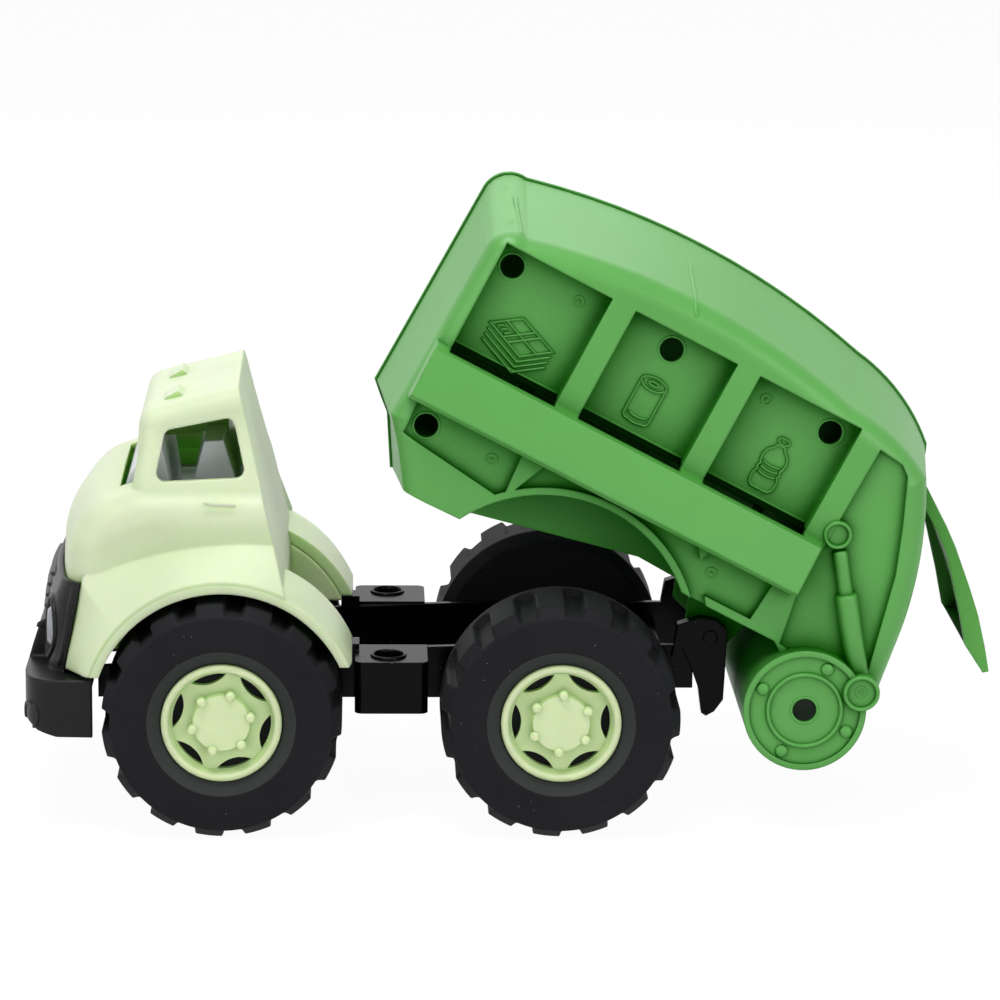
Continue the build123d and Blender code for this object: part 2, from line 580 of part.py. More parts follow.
def rows_in(rows, amount):
    """Rows moved inwards by the amount."""
    points, marks = [], []
    for x, z, mx, mz in rows:
        if mx is not None:
            points.append((mx, mz))
            marks.append("mid")
        points.append((x, z))
        marks.append("corner")
    result, middle = [], (None, None)
    for mark, point in zip(marks, moved_in(points, amount)):
        if mark == "mid":
            middle = point
        else:
            result.append((*point, *middle))
            middle = (None, None)
    return result


def core(inset):
    """Half of the body between its seam and side outlines; the outside has a rounded side edge."""
    thicker = EDGE_EXTRA if inset else 0
    seam = Plane.XZ * outline(rows_in(SEAM_ROWS, inset))
    side = Pos(0, BODY_SIDE - inset, 0) * (Plane.XZ * outline(rows_in(SIDE_ROWS, inset + thicker)))
    block = loft([seam, side], ruled=True)
    if inset:
        return block
    edges = [e for e in block.edges() if abs(e.center().Y - BODY_SIDE) < 0.01
             and (e.center().Z > ROUND_FROM[1] or e.center().X > ROUND_FROM[0])]
    return fillet(edges, BODY_ROUND)


def ledge(inset):
    """Bulged trough along the side, below the panels."""
    points = moved_in(LEDGE_END, inset)
    low = min(z for _, z in points)
    points = points + [(LEDGE_END[-1][0] - LEDGE_DEEP, low), (LEDGE_END[-1][0] - LEDGE_DEEP, points[0][1])]
    x0, x1 = LEDGE_X[0] + inset, LEDGE_X[1] - inset
    return Pos(x0, 0, 0) * extrude(Plane.YZ * make_face(Polyline(*points, close=True)), x1 - x0)


def body_solid(inset):
    """Half body with drum and ledge, without openings."""
    drum = rod(*DRUM, DRUM_R - inset, 0, DRUM_SIDE + DRUM_RING_RISE - inset)
    return core(inset) + drum + ledge(inset)


def bar_between(a, b, half_width, y0, y1):
    """Straight bar seen from the side, between two (X, Z) points."""
    length = math.hypot(b[0] - a[0], b[1] - a[1])
    dx, dz = (b[0] - a[0]) / length * half_width, (b[1] - a[1]) / length * half_width
    return prism([(a[0] - dz, a[1] + dx), (b[0] - dz, b[1] + dx), (b[0] + dz, b[1] - dx), (a[0] + dz, a[1] - dx)], y0, y1)


def ram():
    """Moulded cylinder on the rear side panel."""
    y0, y1 = BODY_SIDE - REAR_PANEL_DEPTH - SHELL / 2, BODY_SIDE - REAR_PANEL_DEPTH + RAM_RISE
    joint = tuple(a + (b - a) * RAM_JOINT for a, b in zip(RAM_EYE, RAM_FOOT))
    start = tuple(a + (b - a) * 0.12 for a, b in zip(RAM_EYE, RAM_FOOT))
    piece = bar_between(start, joint, RAM_ROD, y0, y1 - 1.0) + bar_between(joint, RAM_FOOT, RAM_BARREL, y0, y1)
    eye = rod(*RAM_EYE, RAM_EYE_R, y0, y1 - 1.2)
    foot = rod(*RAM_FOOT, RAM_FOOT_R, y0, DRUM_SIDE + DRUM_RING_RISE)
    return piece + eye + foot


def body_half():
    """Left half shell of the tipping body, lying level."""
    outer, inner = body_solid(0), body_solid(SHELL)
    x, z = ARCH_SHIFT
    outer -= rod(x, z, ARCH_R, WELL_SIDE, FAR)
    inner -= rod(x, z, ARCH_R + SHELL, WELL_SIDE - SHELL, FAR)
    low, high = PANEL_Z
    for x0, x1 in PANEL_X:
        outer -= slab((x0, x1), (PANEL_SIDE, FAR), (low, high))
        inner -= slab((x0 - SHELL, x1 + SHELL), (PANEL_SIDE - SHELL, FAR), (low + PANEL_FREE_EDGE, high + SHELL))
    band = rod(x, z, ARCH_R + ARCH_BAND, 0, FAR)
    for points in LOW_PANELS:
        outer -= prism(points, BODY_SIDE - LOW_PANEL_DEPTH, FAR) - band - ledge(0)
        inner -= prism(moved_in(points, -SHELL), BODY_SIDE - LOW_PANEL_DEPTH - SHELL, BODY_SIDE)
    outer -= prism(REAR_PANEL, BODY_SIDE - REAR_PANEL_DEPTH, FAR) - rod(*DRUM, DRUM_R, 0, FAR) - ledge(0)
    inner -= prism(moved_in(REAR_PANEL, -SHELL), BODY_SIDE - REAR_PANEL_DEPTH - SHELL, BODY_SIDE)
    outer -= rod(*DRUM, DRUM_R - DRUM_RIM, DRUM_SIDE, FAR)
    shell = outer - inner + ram()
    for hx, hz in HOLES + [DRUM]:
        shell -= rod(hx, hz, HOLE_R, HOLE_END, FAR)
    slot_out = LEDGE_END[1][0] - SHELL
    for x0, x1 in PANEL_X:
        shell -= slab((x0, x1), (PANEL_SIDE, slot_out), (LEDGE_END[1][1] - 2 * SHELL, low + 1))
        shell -= slab((x0, x1), (PANEL_SIDE - 1.5 * SHELL, slot_out), (LEDGE_END[1][1] - 2 * SHELL, low + PANEL_FREE_EDGE - 0.4))
    y0 = GATE_HALF + GATE_GAP
    jamb = core(0) & slab((MOUTH[0][0], MOUTH[1][0]), (y0, y0 + JAMB_WALL), (MOUTH[4][1], MOUTH[0][1] + 5))
    shell += jamb
    shell -= rod(*GATE_PIN, GATE_PIN_R + RUN_FIT, y0 - 1, y0 + JAMB_WALL)
    shell -= prism(MOUTH, -1, y0)
    inner_y = RAIL_Y - RAIL_WALL - PLATE_GAP
    shell += prism(LUG_PLATE, inner_y - LUG_PLATE_WALL, inner_y)
    shell -= rod(*PIVOT, PIVOT_R, inner_y - LUG_PLATE_WALL - 1, FAR)
    return Pos(0, 0, TYRE_R) * shell


def gate():
    """Tailgate in its closed place on the level body."""
    door = prism(GATE_BACK + GATE_FRONT[::-1], -GATE_HALF, GATE_HALF)
    back = [(x + GATE_WALL, z) for x, z in GATE_BACK[1:-1]]
    front = [(x + 5 * GATE_WALL, z) for x, z in GATE_BACK[1:-1]]
    door -= prism(back + front[::-1], -GATE_HALF + GATE_WALL, GATE_HALF - GATE_WALL)
    door += rod(*GATE_PIN, GATE_BARREL_R, -GATE_HALF, GATE_HALF)
    reach = GATE_HALF + GATE_GAP + JAMB_WALL - PIECE_GAP
    return Pos(0, 0, TYRE_R) * (door + rod(*GATE_PIN, GATE_PIN_R, -reach, reach))


def nodes():
    """Every part of the truck by name, in the truck frame."""
    parts = {"chassis": chassis(), "cab": cab(), "bumper": bumper(), "cab_insert": cab_insert(),
             "headlights": Compound([headlight(1), headlight(-1)])}
    parts.update(wheel_set("front", WHEELBASE, FRONT_PHASE))
    parts.update(wheel_set("rear", 0.0, 0.0))
    half = body_half()
    tipping = {"body_left": half, "body_right": mirror(half, Plane.XZ)}
    reach = RAIL_Y - RAIL_WALL + EAR_WALL + PIECE_GAP
    pin = rod(*PIVOT, PIVOT_R, -reach, reach)
    tipping["pivot_pin"] = Pos(0, 0, TYRE_R) * pin
    hinge = (GATE_PIN[0], GATE_PIN[1] + TYRE_R)
    tipping["tailgate"] = spun(gate(), hinge, -GATE_OPEN)
    for name, shape in tipping.items():
        parts[name] = spun(shape, (PIVOT[0], PIVOT[1] + TYRE_R), TILT)
    return parts


def origin_shift(parts):
    """Move that puts the origin on the floor under the middle of the bounding box."""
    boxes = [s.bounding_box() for s in parts.values()]
    return -(min(b.min.X for b in boxes) + max(b.max.X for b in boxes)) / 2


def main():
    """Build and write one STEP per part."""
    os.makedirs("parts", exist_ok=True)
    parts = nodes()
    shift = origin_shift(parts)
    for name, shape in parts.items():
        export_step(Pos(shift, 0, 0) * shape, f"parts/{name}.step")
        b = shape.bounding_box()
        print(f"{name:18s} vol {shape.volume:10.0f} solids {len(shape.solids())} "
              f"X {b.min.X:7.1f} {b.max.X:7.1f} Y {b.min.Y:6.1f} {b.max.Y:6.1f} Z {b.min.Z:6.1f} {b.max.Z:6.1f}")
    print(f"shift {shift:.3f}")


if __name__ == "__main__":
    main()
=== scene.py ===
"""Finish of the toy refuse truck.

Moulded pieces with soft edges, cut tyres, raised details, plastics and the stage.
"""
import json
import math

import bmesh
import bpy
import numpy as np
from bpy.props import FloatProperty, FloatVectorProperty, IntProperty, PointerProperty
from mathutils import Matrix, Vector


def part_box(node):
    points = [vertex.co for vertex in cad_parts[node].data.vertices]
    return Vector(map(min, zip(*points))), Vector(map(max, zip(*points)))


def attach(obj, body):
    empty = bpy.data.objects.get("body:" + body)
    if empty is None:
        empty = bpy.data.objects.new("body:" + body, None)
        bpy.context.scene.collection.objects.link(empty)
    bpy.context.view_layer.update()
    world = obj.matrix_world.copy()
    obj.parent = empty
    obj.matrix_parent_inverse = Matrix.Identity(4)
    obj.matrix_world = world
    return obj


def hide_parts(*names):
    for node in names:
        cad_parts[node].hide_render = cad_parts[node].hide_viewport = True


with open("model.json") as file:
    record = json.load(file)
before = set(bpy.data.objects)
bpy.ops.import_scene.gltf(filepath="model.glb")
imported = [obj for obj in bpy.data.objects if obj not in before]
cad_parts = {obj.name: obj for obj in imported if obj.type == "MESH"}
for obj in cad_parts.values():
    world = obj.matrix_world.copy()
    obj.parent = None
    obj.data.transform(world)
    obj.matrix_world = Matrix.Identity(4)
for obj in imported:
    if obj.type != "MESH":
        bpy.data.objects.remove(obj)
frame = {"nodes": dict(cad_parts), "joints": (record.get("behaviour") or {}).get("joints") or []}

bl_info = {
    "name": "Toy refuse truck finish",
    "version": (1, 0, 0),
    "blender": (4, 5, 0),
    "location": "View3D > Sidebar > Refuse truck",
    "description": "Soft edges, tyres, raised details, plastics and stage for the toy refuse truck",
    "category": "Object",
}

MM = 0.001
JOINTS = {joint["name"]: joint for joint in frame["joints"]}
FRONT_AXLE = np.array(JOINTS["front_wheels_roll"]["pos_m"])
REAR_AXLE = np.array(JOINTS["rear_wheels_roll"]["pos_m"])
PIVOT = np.array(JOINTS["body_tip"]["pos_m"])
BODY_TILT = math.radians(-JOINTS["body_tip"]["range_deg"][0])
TYRE_LOW, TYRE_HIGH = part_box("rear_tyres")
RIM_LOW, RIM_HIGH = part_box("rear_rims")
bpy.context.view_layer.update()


def linear(red, green, blue):
    """A colour given in 0 to 255 screen values, as the linear values that shaders take."""
    shares = [value / 255.0 for value in (red, green, blue)]
    return tuple(s / 12.92 if s <= 0.04045 else ((s + 0.055) / 1.055) ** 2.4
                 for s in shares) + (1.0,)


# ---- sizes and colours a user may change ----

class TRUCK_PG_sizes(bpy.types.PropertyGroup):
    """Sizes of the details that are added to the moulded pieces."""

    edge_round: FloatProperty(
        name="Edge round", description="Radius of the soft edges on moulded pieces",
        default=0.5 * MM, min=0.0, unit="LENGTH")
    groove_count: IntProperty(
        name="Tyre grooves", description="Grooves round each tyre", default=15, min=1)
    groove_width: FloatProperty(
        name="Groove width", description="Width of a tyre groove",
        default=8.6 * MM, unit="LENGTH")
    groove_turn: FloatProperty(
        name="Groove turn", description="Turn of the first groove from the top of the wheel",
        default=math.radians(-6.4), unit="ROTATION")
    knob_radius: FloatProperty(
        name="Hub knob radius", description="Radius of the pegs on a hub",
        default=1.75 * MM, unit="LENGTH")
    line_width: FloatProperty(
        name="Picture line width", description="Width of the raised lines on the side panels",
        default=1.05 * MM, unit="LENGTH")
    line_rise: FloatProperty(
        name="Picture line rise", description="Height of the raised lines over the panel",
        default=0.8 * MM, unit="LENGTH")


class TRUCK_PG_colours(bpy.types.PropertyGroup):
    """Colours of the plastics."""

    cab: FloatVectorProperty(
        name="Cab", description="Pale green of the cab",
        subtype="COLOR", size=4, default=linear(216, 230, 193))
    rim: FloatVectorProperty(
        name="Rims", description="Green of the wheel rims",
        subtype="COLOR", size=4, default=linear(220, 236, 186))
    body: FloatVectorProperty(
        name="Tipping body", description="Green of the tipping body",
        subtype="COLOR", size=4, default=linear(88, 165, 74))
    gate: FloatVectorProperty(
        name="Tailgate", description="Green of the tailgate",
        subtype="COLOR", size=4, default=linear(94, 168, 76))
    chassis: FloatVectorProperty(
        name="Chassis", description="Black of the chassis",
        subtype="COLOR", size=4, default=linear(6, 6, 8))
    bumper: FloatVectorProperty(
        name="Bumper", description="Soft black of the bumper and mask",
        subtype="COLOR", size=4, default=linear(20, 20, 22))
    insert: FloatVectorProperty(
        name="Insert", description="Silver grey of the insert behind the windows",
        subtype="COLOR", size=4, default=linear(222, 225, 232))
    tyre: FloatVectorProperty(
        name="Tyres", description="Dark grey of the tyres",
        subtype="COLOR", size=4, default=linear(33, 33, 36))


def sizes():
    """The size settings of the scene."""
    return bpy.context.scene.truck_sizes


# ---- shapes as grids of points ----

SHARP_EDGE = 35.0
MERGE_REACH, SLIVER = 1e-6, 1e-7
LINE_END, LINE_RUN, MITRE_LEAST = 0.02, 0.3, 0.5
RING_STEPS, DETAIL_RING_STEPS, DOME_STEPS, PEG_STEPS = 96, 64, 24, 20


def grid_faces(rows, cols, wrap_rows, wrap_cols, start):
    """Quads that join each point of a grid to its neighbours one row and one column on."""
    i, j = np.meshgrid(np.arange(rows if wrap_rows else rows - 1),
                       np.arange(cols if wrap_cols else cols - 1), indexing="ij")
    down, right = (i + 1) % rows, (j + 1) % cols
    quads = np.stack([i * cols + j, down * cols + j, down * cols + right, i * cols + right], -1)
    return start + quads.reshape(-1, 4)


def mesh_piece(name, grids, finish, body, sharp=SHARP_EDGE):
    """One object on its body from grids of points, each (points, wrap rows, wrap columns), in
    metres in the row frame. Seams and poles are closed and the faces turned outwards. The finish
    names its plastic."""
    points, quads, start = [], [], 0
    for grid, wrap_rows, wrap_cols in grids:
        rows, cols = grid.shape[:2]
        points.append(grid.reshape(-1, 3))
        quads.append(grid_faces(rows, cols, wrap_rows, wrap_cols, start))
        start += rows * cols
    mesh = bpy.data.meshes.new(name)
    mesh.from_pydata(np.concatenate(points).tolist(), [], np.concatenate(quads).tolist())
    work = bmesh.new()
    work.from_mesh(mesh)
    bmesh.ops.remove_doubles(work, verts=work.verts, dist=MERGE_REACH)
    bmesh.ops.dissolve_degenerate(work, edges=work.edges, dist=SLIVER)
    bmesh.ops.recalc_face_normals(work, faces=work.faces)
    work.to_mesh(mesh)
    work.free()
    mesh.shade_smooth()
    mesh.set_sharp_from_angle(angle=math.radians(sharp))
    mesh.materials.append(plastics()[finish])
    piece = bpy.data.objects.new(name, mesh)
    bpy.context.scene.collection.objects.link(piece)
    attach(piece, body)
    return piece


def mirrored(grids):
    """The grids and their mirror images across the middle of the truck."""
    flip = np.array([1.0, -1.0, 1.0])
    return list(grids) + [(grid * flip, wrap_rows, wrap_cols)
                          for grid, wrap_rows, wrap_cols in grids]


def circle_angles(count):
    """Even angles round a circle, without the last one."""
    return np.arange(count) * (2 * math.pi / count)


def turned_grid(profile, centre, angles, axis=1):
    """Profile of (radius, height) points turned about an axis through the centre, 1 for y or 2
    for z: each point goes round the circle of its radius, at its height along the axis."""
    radius, height = np.asarray(profile, float).T
    turn, radius = np.meshgrid(angles, radius, indexing="ij")
    height = np.broadcast_to(height, radius.shape)
    across = [radius * np.sin(turn), radius * np.cos(turn)]
    parts = {1: [across[0], height, across[1]], 2: [across[0], across[1], height]}[axis]
    return np.stack(parts, -1) + np.asarray(centre, float)


def rounded(points, radii, steps=4):
    """Closed polyline whose corners become arcs: each arc runs between the points that lie the
    corner's tangent length before and after it."""
    points = [np.array(p, float) for p in points]
    result = []
    corners = zip(points[-1:] + points[:-1], points, points[1:] + points[:1], radii)
    for before, here, after, radius in corners:
        a, b = before - here, after - here
        a, b = a / np.linalg.norm(a), b / np.linalg.norm(b)
        half = math.acos(float(np.clip(a @ b, -1, 1))) / 2
        reach = radius / math.tan(half)
        middle = here + (a + b) / np.linalg.norm(a + b) * radius / math.sin(half)
        start, end = here + a * reach - middle, here + b * reach - middle
        for share in np.linspace(0, 1, steps + 1):
            mix = start * (1 - share) + end * share
            result.append(middle + mix / np.linalg.norm(mix) * radius)
    return np.array(result)


def curve_through(points, count):
    """Points spread evenly along straight lines between the given points."""
    points = np.array(points)
    steps = np.linalg.norm(np.diff(points, axis=0), axis=1)
    run = np.concatenate([[0], np.cumsum(steps)])
    at = np.linspace(0, run[-1], count)
    return np.stack([np.interp(at, run, points[:, k]) for k in range(2)], -1)


def dome_profile(radius, rise, sunk, steps=5):
    """Quarter ellipse from the rim of a dome up to its top, with a short skirt below."""
    t = np.linspace(0, math.pi / 2, steps + 1)
    top = np.stack([radius * np.cos(t), rise * np.sin(t)], -1)
    return np.concatenate([[[radius, -sunk]], top])


def peg_profile(radius, rise, sunk, steps=6):
    """Side and rounded top of a short peg: a quarter superellipse of power 3, with a straight
    skirt below."""
    t = np.linspace(0, math.pi / 2, steps + 1)
    top = np.stack([radius * np.cos(t) ** (2 / 3), rise * np.sin(t) ** (2 / 3)], -1)
    top[-1, 0] = 0
    return np.concatenate([[[radius, -sunk]], top])


def ring_profile(inner, outer, base, rise, sunk, steps=5):
    """Half ellipse from the inner to the outer radius, with short skirts below."""
    t = np.linspace(math.pi, 0, 2 * steps + 1)
    middle, half = (inner + outer) / 2, (outer - inner) / 2
    arch = np.stack([middle + half * np.cos(t), base + rise * np.sin(t)], -1)
    return np.concatenate([[[inner, base - sunk]], arch, [[outer, base - sunk]]])


def line_grid(path, width, rise, floor, closed, sunk=0.15, steps=6):
    """Raised line along a path of level (x, z) points on the plane y = floor: a half ellipse is
    carried along the path on mitred normals, and an open line's ends draw in to a point."""
    path = np.asarray(path, float)
    if closed:
        before, after = np.roll(path, 1, 0), np.roll(path, -1, 0)
    else:
        before = np.concatenate([[2 * path[0] - path[1]], path[:-1]])
        after = np.concatenate([path[1:], [2 * path[-1] - path[-2]]])
    a, b = path - before, after - path
    a, b = a / np.linalg.norm(a, axis=1)[:, None], b / np.linalg.norm(b, axis=1)[:, None]
    normals = np.stack([-(a + b)[:, 1], (a + b)[:, 0]], -1)
    normals /= np.linalg.norm(normals, axis=1)[:, None]
    lean = np.abs(-a[:, 1] * normals[:, 0] + a[:, 0] * normals[:, 1])
    mitre = 1 / np.clip(lean, MITRE_LEAST, 1)
    size = np.ones(len(path))
    if not closed:
        ends = [path[0] - a[0] * width * LINE_RUN, path[-1] + b[-1] * width * LINE_RUN]
        path = np.concatenate([[ends[0]], path, [ends[1]]])
        normals = np.concatenate([normals[:1], normals, normals[-1:]])
        mitre = np.concatenate([[1], mitre, [1]])
        size = np.concatenate([[LINE_END], size, [LINE_END]])
    t = np.linspace(0, math.pi, steps + 1)
    side = np.concatenate([[1], np.cos(t), [-1]]) * width / 2
    high = np.concatenate([[-sunk], np.sin(t) * rise, [-sunk]])
    reach = side[None, :, None] * (size * mitre)[:, None, None]
    place = path[:, None, :] + normals[:, None, :] * reach
    height = floor + high[None, :] * size[:, None]
    return np.stack([place[..., 0], height, place[..., 1]], -1)


# ---- places on the truck ----

def from_front_axle(points):
    """Points in millimetres from the front axle moved to the row frame."""
    return np.asarray(points, float) * MM + FRONT_AXLE


def raised(x, z):
    """Place in the row frame of a point of the level body, in millimetres from the rear axle: the
    body is turned about its pivot by its tilt."""
    dx = REAR_AXLE[0] + np.asarray(x) * MM - PIVOT[0]
    dz = REAR_AXLE[2] + np.asarray(z) * MM - PIVOT[2]
    c, s = math.cos(BODY_TILT), math.sin(BODY_TILT)
    return PIVOT[0] + dx * c - dz * s, PIVOT[2] + dx * s + dz * c


def on_body(grid):
    """Grid of level (x, y, z) in millimetres moved to its raised place in the row frame."""
    x, z = raised(grid[..., 0], grid[..., 2])
    return np.stack([x, grid[..., 1] * MM, z], -1)


def laid_on(name, starts, towards):
    """Places and normals where rays from the start points meet the named solid."""
    solid = frame["nodes"][name]
    place, normal = [], []
    for start in starts:
        hit, at, facing, _ = solid.ray_cast(Vector(start.tolist()), Vector(towards))
        if not hit:
            raise RuntimeError("nothing of " + name + " lies under a detail")
        place.append(at[:])
        normal.append(facing[:])
    return np.array(place), np.array(normal)


def laid_line(place, normal, width, rise, closed, sunk=0.5, steps=6):
    """Raised line along places on a surface: half an ellipse across the line, upright on the
    surface's normals, which are evened out along it. An open line's ends draw in to a point."""
    for _ in range(3):
        near = (np.roll(normal, 1, 0) + np.roll(normal, -1, 0)) / 2
        if not closed:
            near[[0, -1]] = normal[[0, -1]]
        normal = normal + near
        normal /= np.linalg.norm(normal, axis=1)[:, None]
    if closed:
        step = np.roll(place, -1, 0) - np.roll(place, 1, 0)
    else:
        step = np.gradient(place, axis=0)
    across = np.cross(normal, step)
    across /= np.linalg.norm(across, axis=1)[:, None]
    size = np.ones(len(place))
    if not closed:
        size[[0, -1]] = LINE_END
    t = np.linspace(0, math.pi, steps + 1)
    side = np.concatenate([[1], np.cos(t), [-1]]) * width / 2 * MM
    high = np.concatenate([[-sunk], np.sin(t) * rise, [-sunk]]) * MM
    grid = (place[:, None] + across[:, None] * (side[None, :, None] * size[:, None, None])
            + normal[:, None] * (high[None, :, None] * size[:, None, None]))
    return grid, closed, False


# ---- materials ----

PLASTIC_IOR = 1.46
SCATTER_REACH, SCATTER_DEPTH = (0.6, 1.0, 0.25), 5 * MM
TONE_SPAN = (0.3, 0.7)
BUMP_DEPTH = 0.25 * MM
SHADER_SAMPLES = 6
MIX_FIRST, MIX_SECOND, MIX_RESULT = 6, 7, 2
# The seam green is painted shadow: near-black green for the strips laid in the seam gap and the
# slots, standing for the shade in them.
DUST_GREY, SEAM_SHADOW_GREEN = linear(120, 120, 128), linear(8, 40, 6)
# The bead grey is painted light: a lighter copy of the tyre's grey, on the ring round each rim,
# standing for light on the tyre's bead cone.
LENS_GREY, BEAD_LIT_GREY = linear(158, 161, 168), linear(52, 54, 53)
# Tints that painted shade multiplies into the paint in recesses, turning each green darker and more
# saturated there.
BODY_SHADE_TINT = (0.08, 0.36, 0.03, 1.0)
CAB_SHADE_TINT = (0.42, 0.68, 0.14, 1.0)
RIM_SHADE_TINT = (0.4, 0.64, 0.2, 1.0)


def new_group(name, inputs, outputs):
    """Empty shader node group with named number inputs and their defaults, and named outputs."""
    group = bpy.data.node_groups.new(name, "ShaderNodeTree")
    for label, default in inputs.items():
        socket = group.interface.new_socket(name=label, in_out="INPUT",
                                            socket_type="NodeSocketFloat")
        socket.default_value = default
    for label in outputs:
        group.interface.new_socket(name=label, in_out="OUTPUT", socket_type="NodeSocketFloat")
    start, end = group.nodes.new("NodeGroupInput"), group.nodes.new("NodeGroupOutput")
    return group, start, end


def node(tree, kind, settings=None, **values):
    """New node with its settings and the default values of its named inputs."""
    made = tree.nodes.new(kind)
    for key, value in (settings or {}).items():
        setattr(made, key, value)
    for key, value in values.items():
        made.inputs[key.replace("_", " ")].default_value = value
    return made


def moulded_skin_group():
    """Fine grain and slow unevenness of a moulded skin, and a tone that drifts over the piece."""
    group, start, end = new_group(
        "Moulded skin", {"Grain scale": 1500.0, "Wave scale": 35.0, "Grain share": 0.35},
        ["Height", "Tone"])
    link = group.links.new
    place = node(group, "ShaderNodeTexCoord")
    grain = node(group, "ShaderNodeTexNoise", Detail=2.0, Roughness=0.6)
    wave = node(group, "ShaderNodeTexNoise", Detail=3.0, Roughness=0.5)
    for noise, scale in ((grain, "Grain scale"), (wave, "Wave scale")):
        link(place.outputs["Object"], noise.inputs["Vector"])
        link(start.outputs[scale], noise.inputs["Scale"])
    mix = node(group, "ShaderNodeMix", {"data_type": "FLOAT"})
    link(start.outputs["Grain share"], mix.inputs["Factor"])
    link(wave.outputs["Fac"], mix.inputs["A"])
    link(grain.outputs["Fac"], mix.inputs["B"])
    link(mix.outputs["Result"], end.inputs["Height"])
    link(wave.outputs["Fac"], end.inputs["Tone"])
    return group


def dust_specks_group():
    """Mask of small separate specks: the cells of a pattern whose random value is low, near their
    centres."""
    group, start, end = new_group(
        "Dust specks", {"Scale": 1100.0, "Size": 0.2, "Share": 0.03}, ["Mask"])
    link = group.links.new
    place = node(group, "ShaderNodeTexCoord")
    cells = node(group, "ShaderNodeTexVoronoi")
    link(place.outputs["Object"], cells.inputs["Vector"])
    link(start.outputs["Scale"], cells.inputs["Scale"])
    split = node(group, "ShaderNodeSeparateColor")
    link(cells.outputs["Color"], split.inputs["Color"])
    both = node(group, "ShaderNodeMath", {"operation": "MULTIPLY"})
    tests = ((cells.outputs["Distance"], "Size"), (split.outputs["Red"], "Share"))
    for index, (value, limit) in enumerate(tests):
        below = node(group, "ShaderNodeMath", {"operation": "LESS_THAN"})
        link(value, below.inputs[0])
        link(start.outputs[limit], below.inputs[1])
        link(below.outputs[0], both.inputs[index])
    link(both.outputs[0], end.inputs["Mask"])
    return group


def painted_shade_group():
    """Mask of painted shade: ambient occlusion that rises towards one in corners and hollows, where
    little light reaches.
    """
    group, start, end = new_group("Painted recess shade", {"Reach": 0.035}, ["Mask"])
    link = group.links.new
    open_sky = node(group, "ShaderNodeAmbientOcclusion", {"samples": SHADER_SAMPLES})
    link(start.outputs["Reach"], open_sky.inputs["Distance"])
    closed = node(group, "ShaderNodeMath", {"operation": "SUBTRACT"})
    closed.inputs[0].default_value = 1.0
    link(open_sky.outputs["AO"], closed.inputs[1])
    link(closed.outputs[0], end.inputs["Mask"])
    return group


SHARED_GROUPS = {"Moulded skin": moulded_skin_group, "Dust specks": dust_specks_group,
                 "Painted recess shade": painted_shade_group}


def shared_node(tree, name):
    """Node for the shared group of that name, which is made once."""
    group = bpy.data.node_groups.get(name) or SHARED_GROUPS[name]()
    return node(tree, "ShaderNodeGroup", {"node_tree": group})


def tinted(tree, paint, mask, tint, blend="MIX"):
    """The paint blended towards the tint by the mask."""
    mix = node(tree, "ShaderNodeMix", {"data_type": "RGBA", "blend_type": blend})
    mix.inputs[MIX_SECOND].default_value = tint
    tree.links.new(mask, mix.inputs["Factor"])
    tree.links.new(paint, mix.inputs[MIX_FIRST])
    return mix.outputs[MIX_RESULT]


def drifting_tone(tree, tone, colour, drift):
    """The colour, a little darker or lighter as the tone goes."""
    ramp = node(tree, "ShaderNodeValToRGB")
    for stop, position, side in zip(ramp.color_ramp.elements, TONE_SPAN, (-1, 1)):
        stop.position = position
        stop.color = tuple(min(1.0, c * (1 + side * drift)) for c in colour[:3]) + (1.0,)
    tree.links.new(tone, ramp.inputs["Fac"])
    return ramp.outputs["Color"]


def painted_recess_shade(tree, shader, paint, painted_shade, shade_tint, shine):
    """The paint with painted shade in recesses: the mask multiplies in the dark tint and fades the
    shine there too.
    """
    recess_shade = shared_node(tree, "Painted recess shade")
    shade_mask = node(tree, "ShaderNodeMath", {"operation": "MULTIPLY", "use_clamp": True})
    shade_mask.inputs[1].default_value = painted_shade
    tree.links.new(recess_shade.outputs["Mask"], shade_mask.inputs[0])
    gloss = node(tree, "ShaderNodeMath", {"operation": "MULTIPLY_ADD", "use_clamp": True})
    gloss.inputs[1].default_value = -shine
    gloss.inputs[2].default_value = shine
    tree.links.new(shade_mask.outputs[0], gloss.inputs[0])
    tree.links.new(gloss.outputs[0], shader.inputs["Specular IOR Level"])
    return tinted(tree, paint, shade_mask.outputs[0], shade_tint, "MULTIPLY")


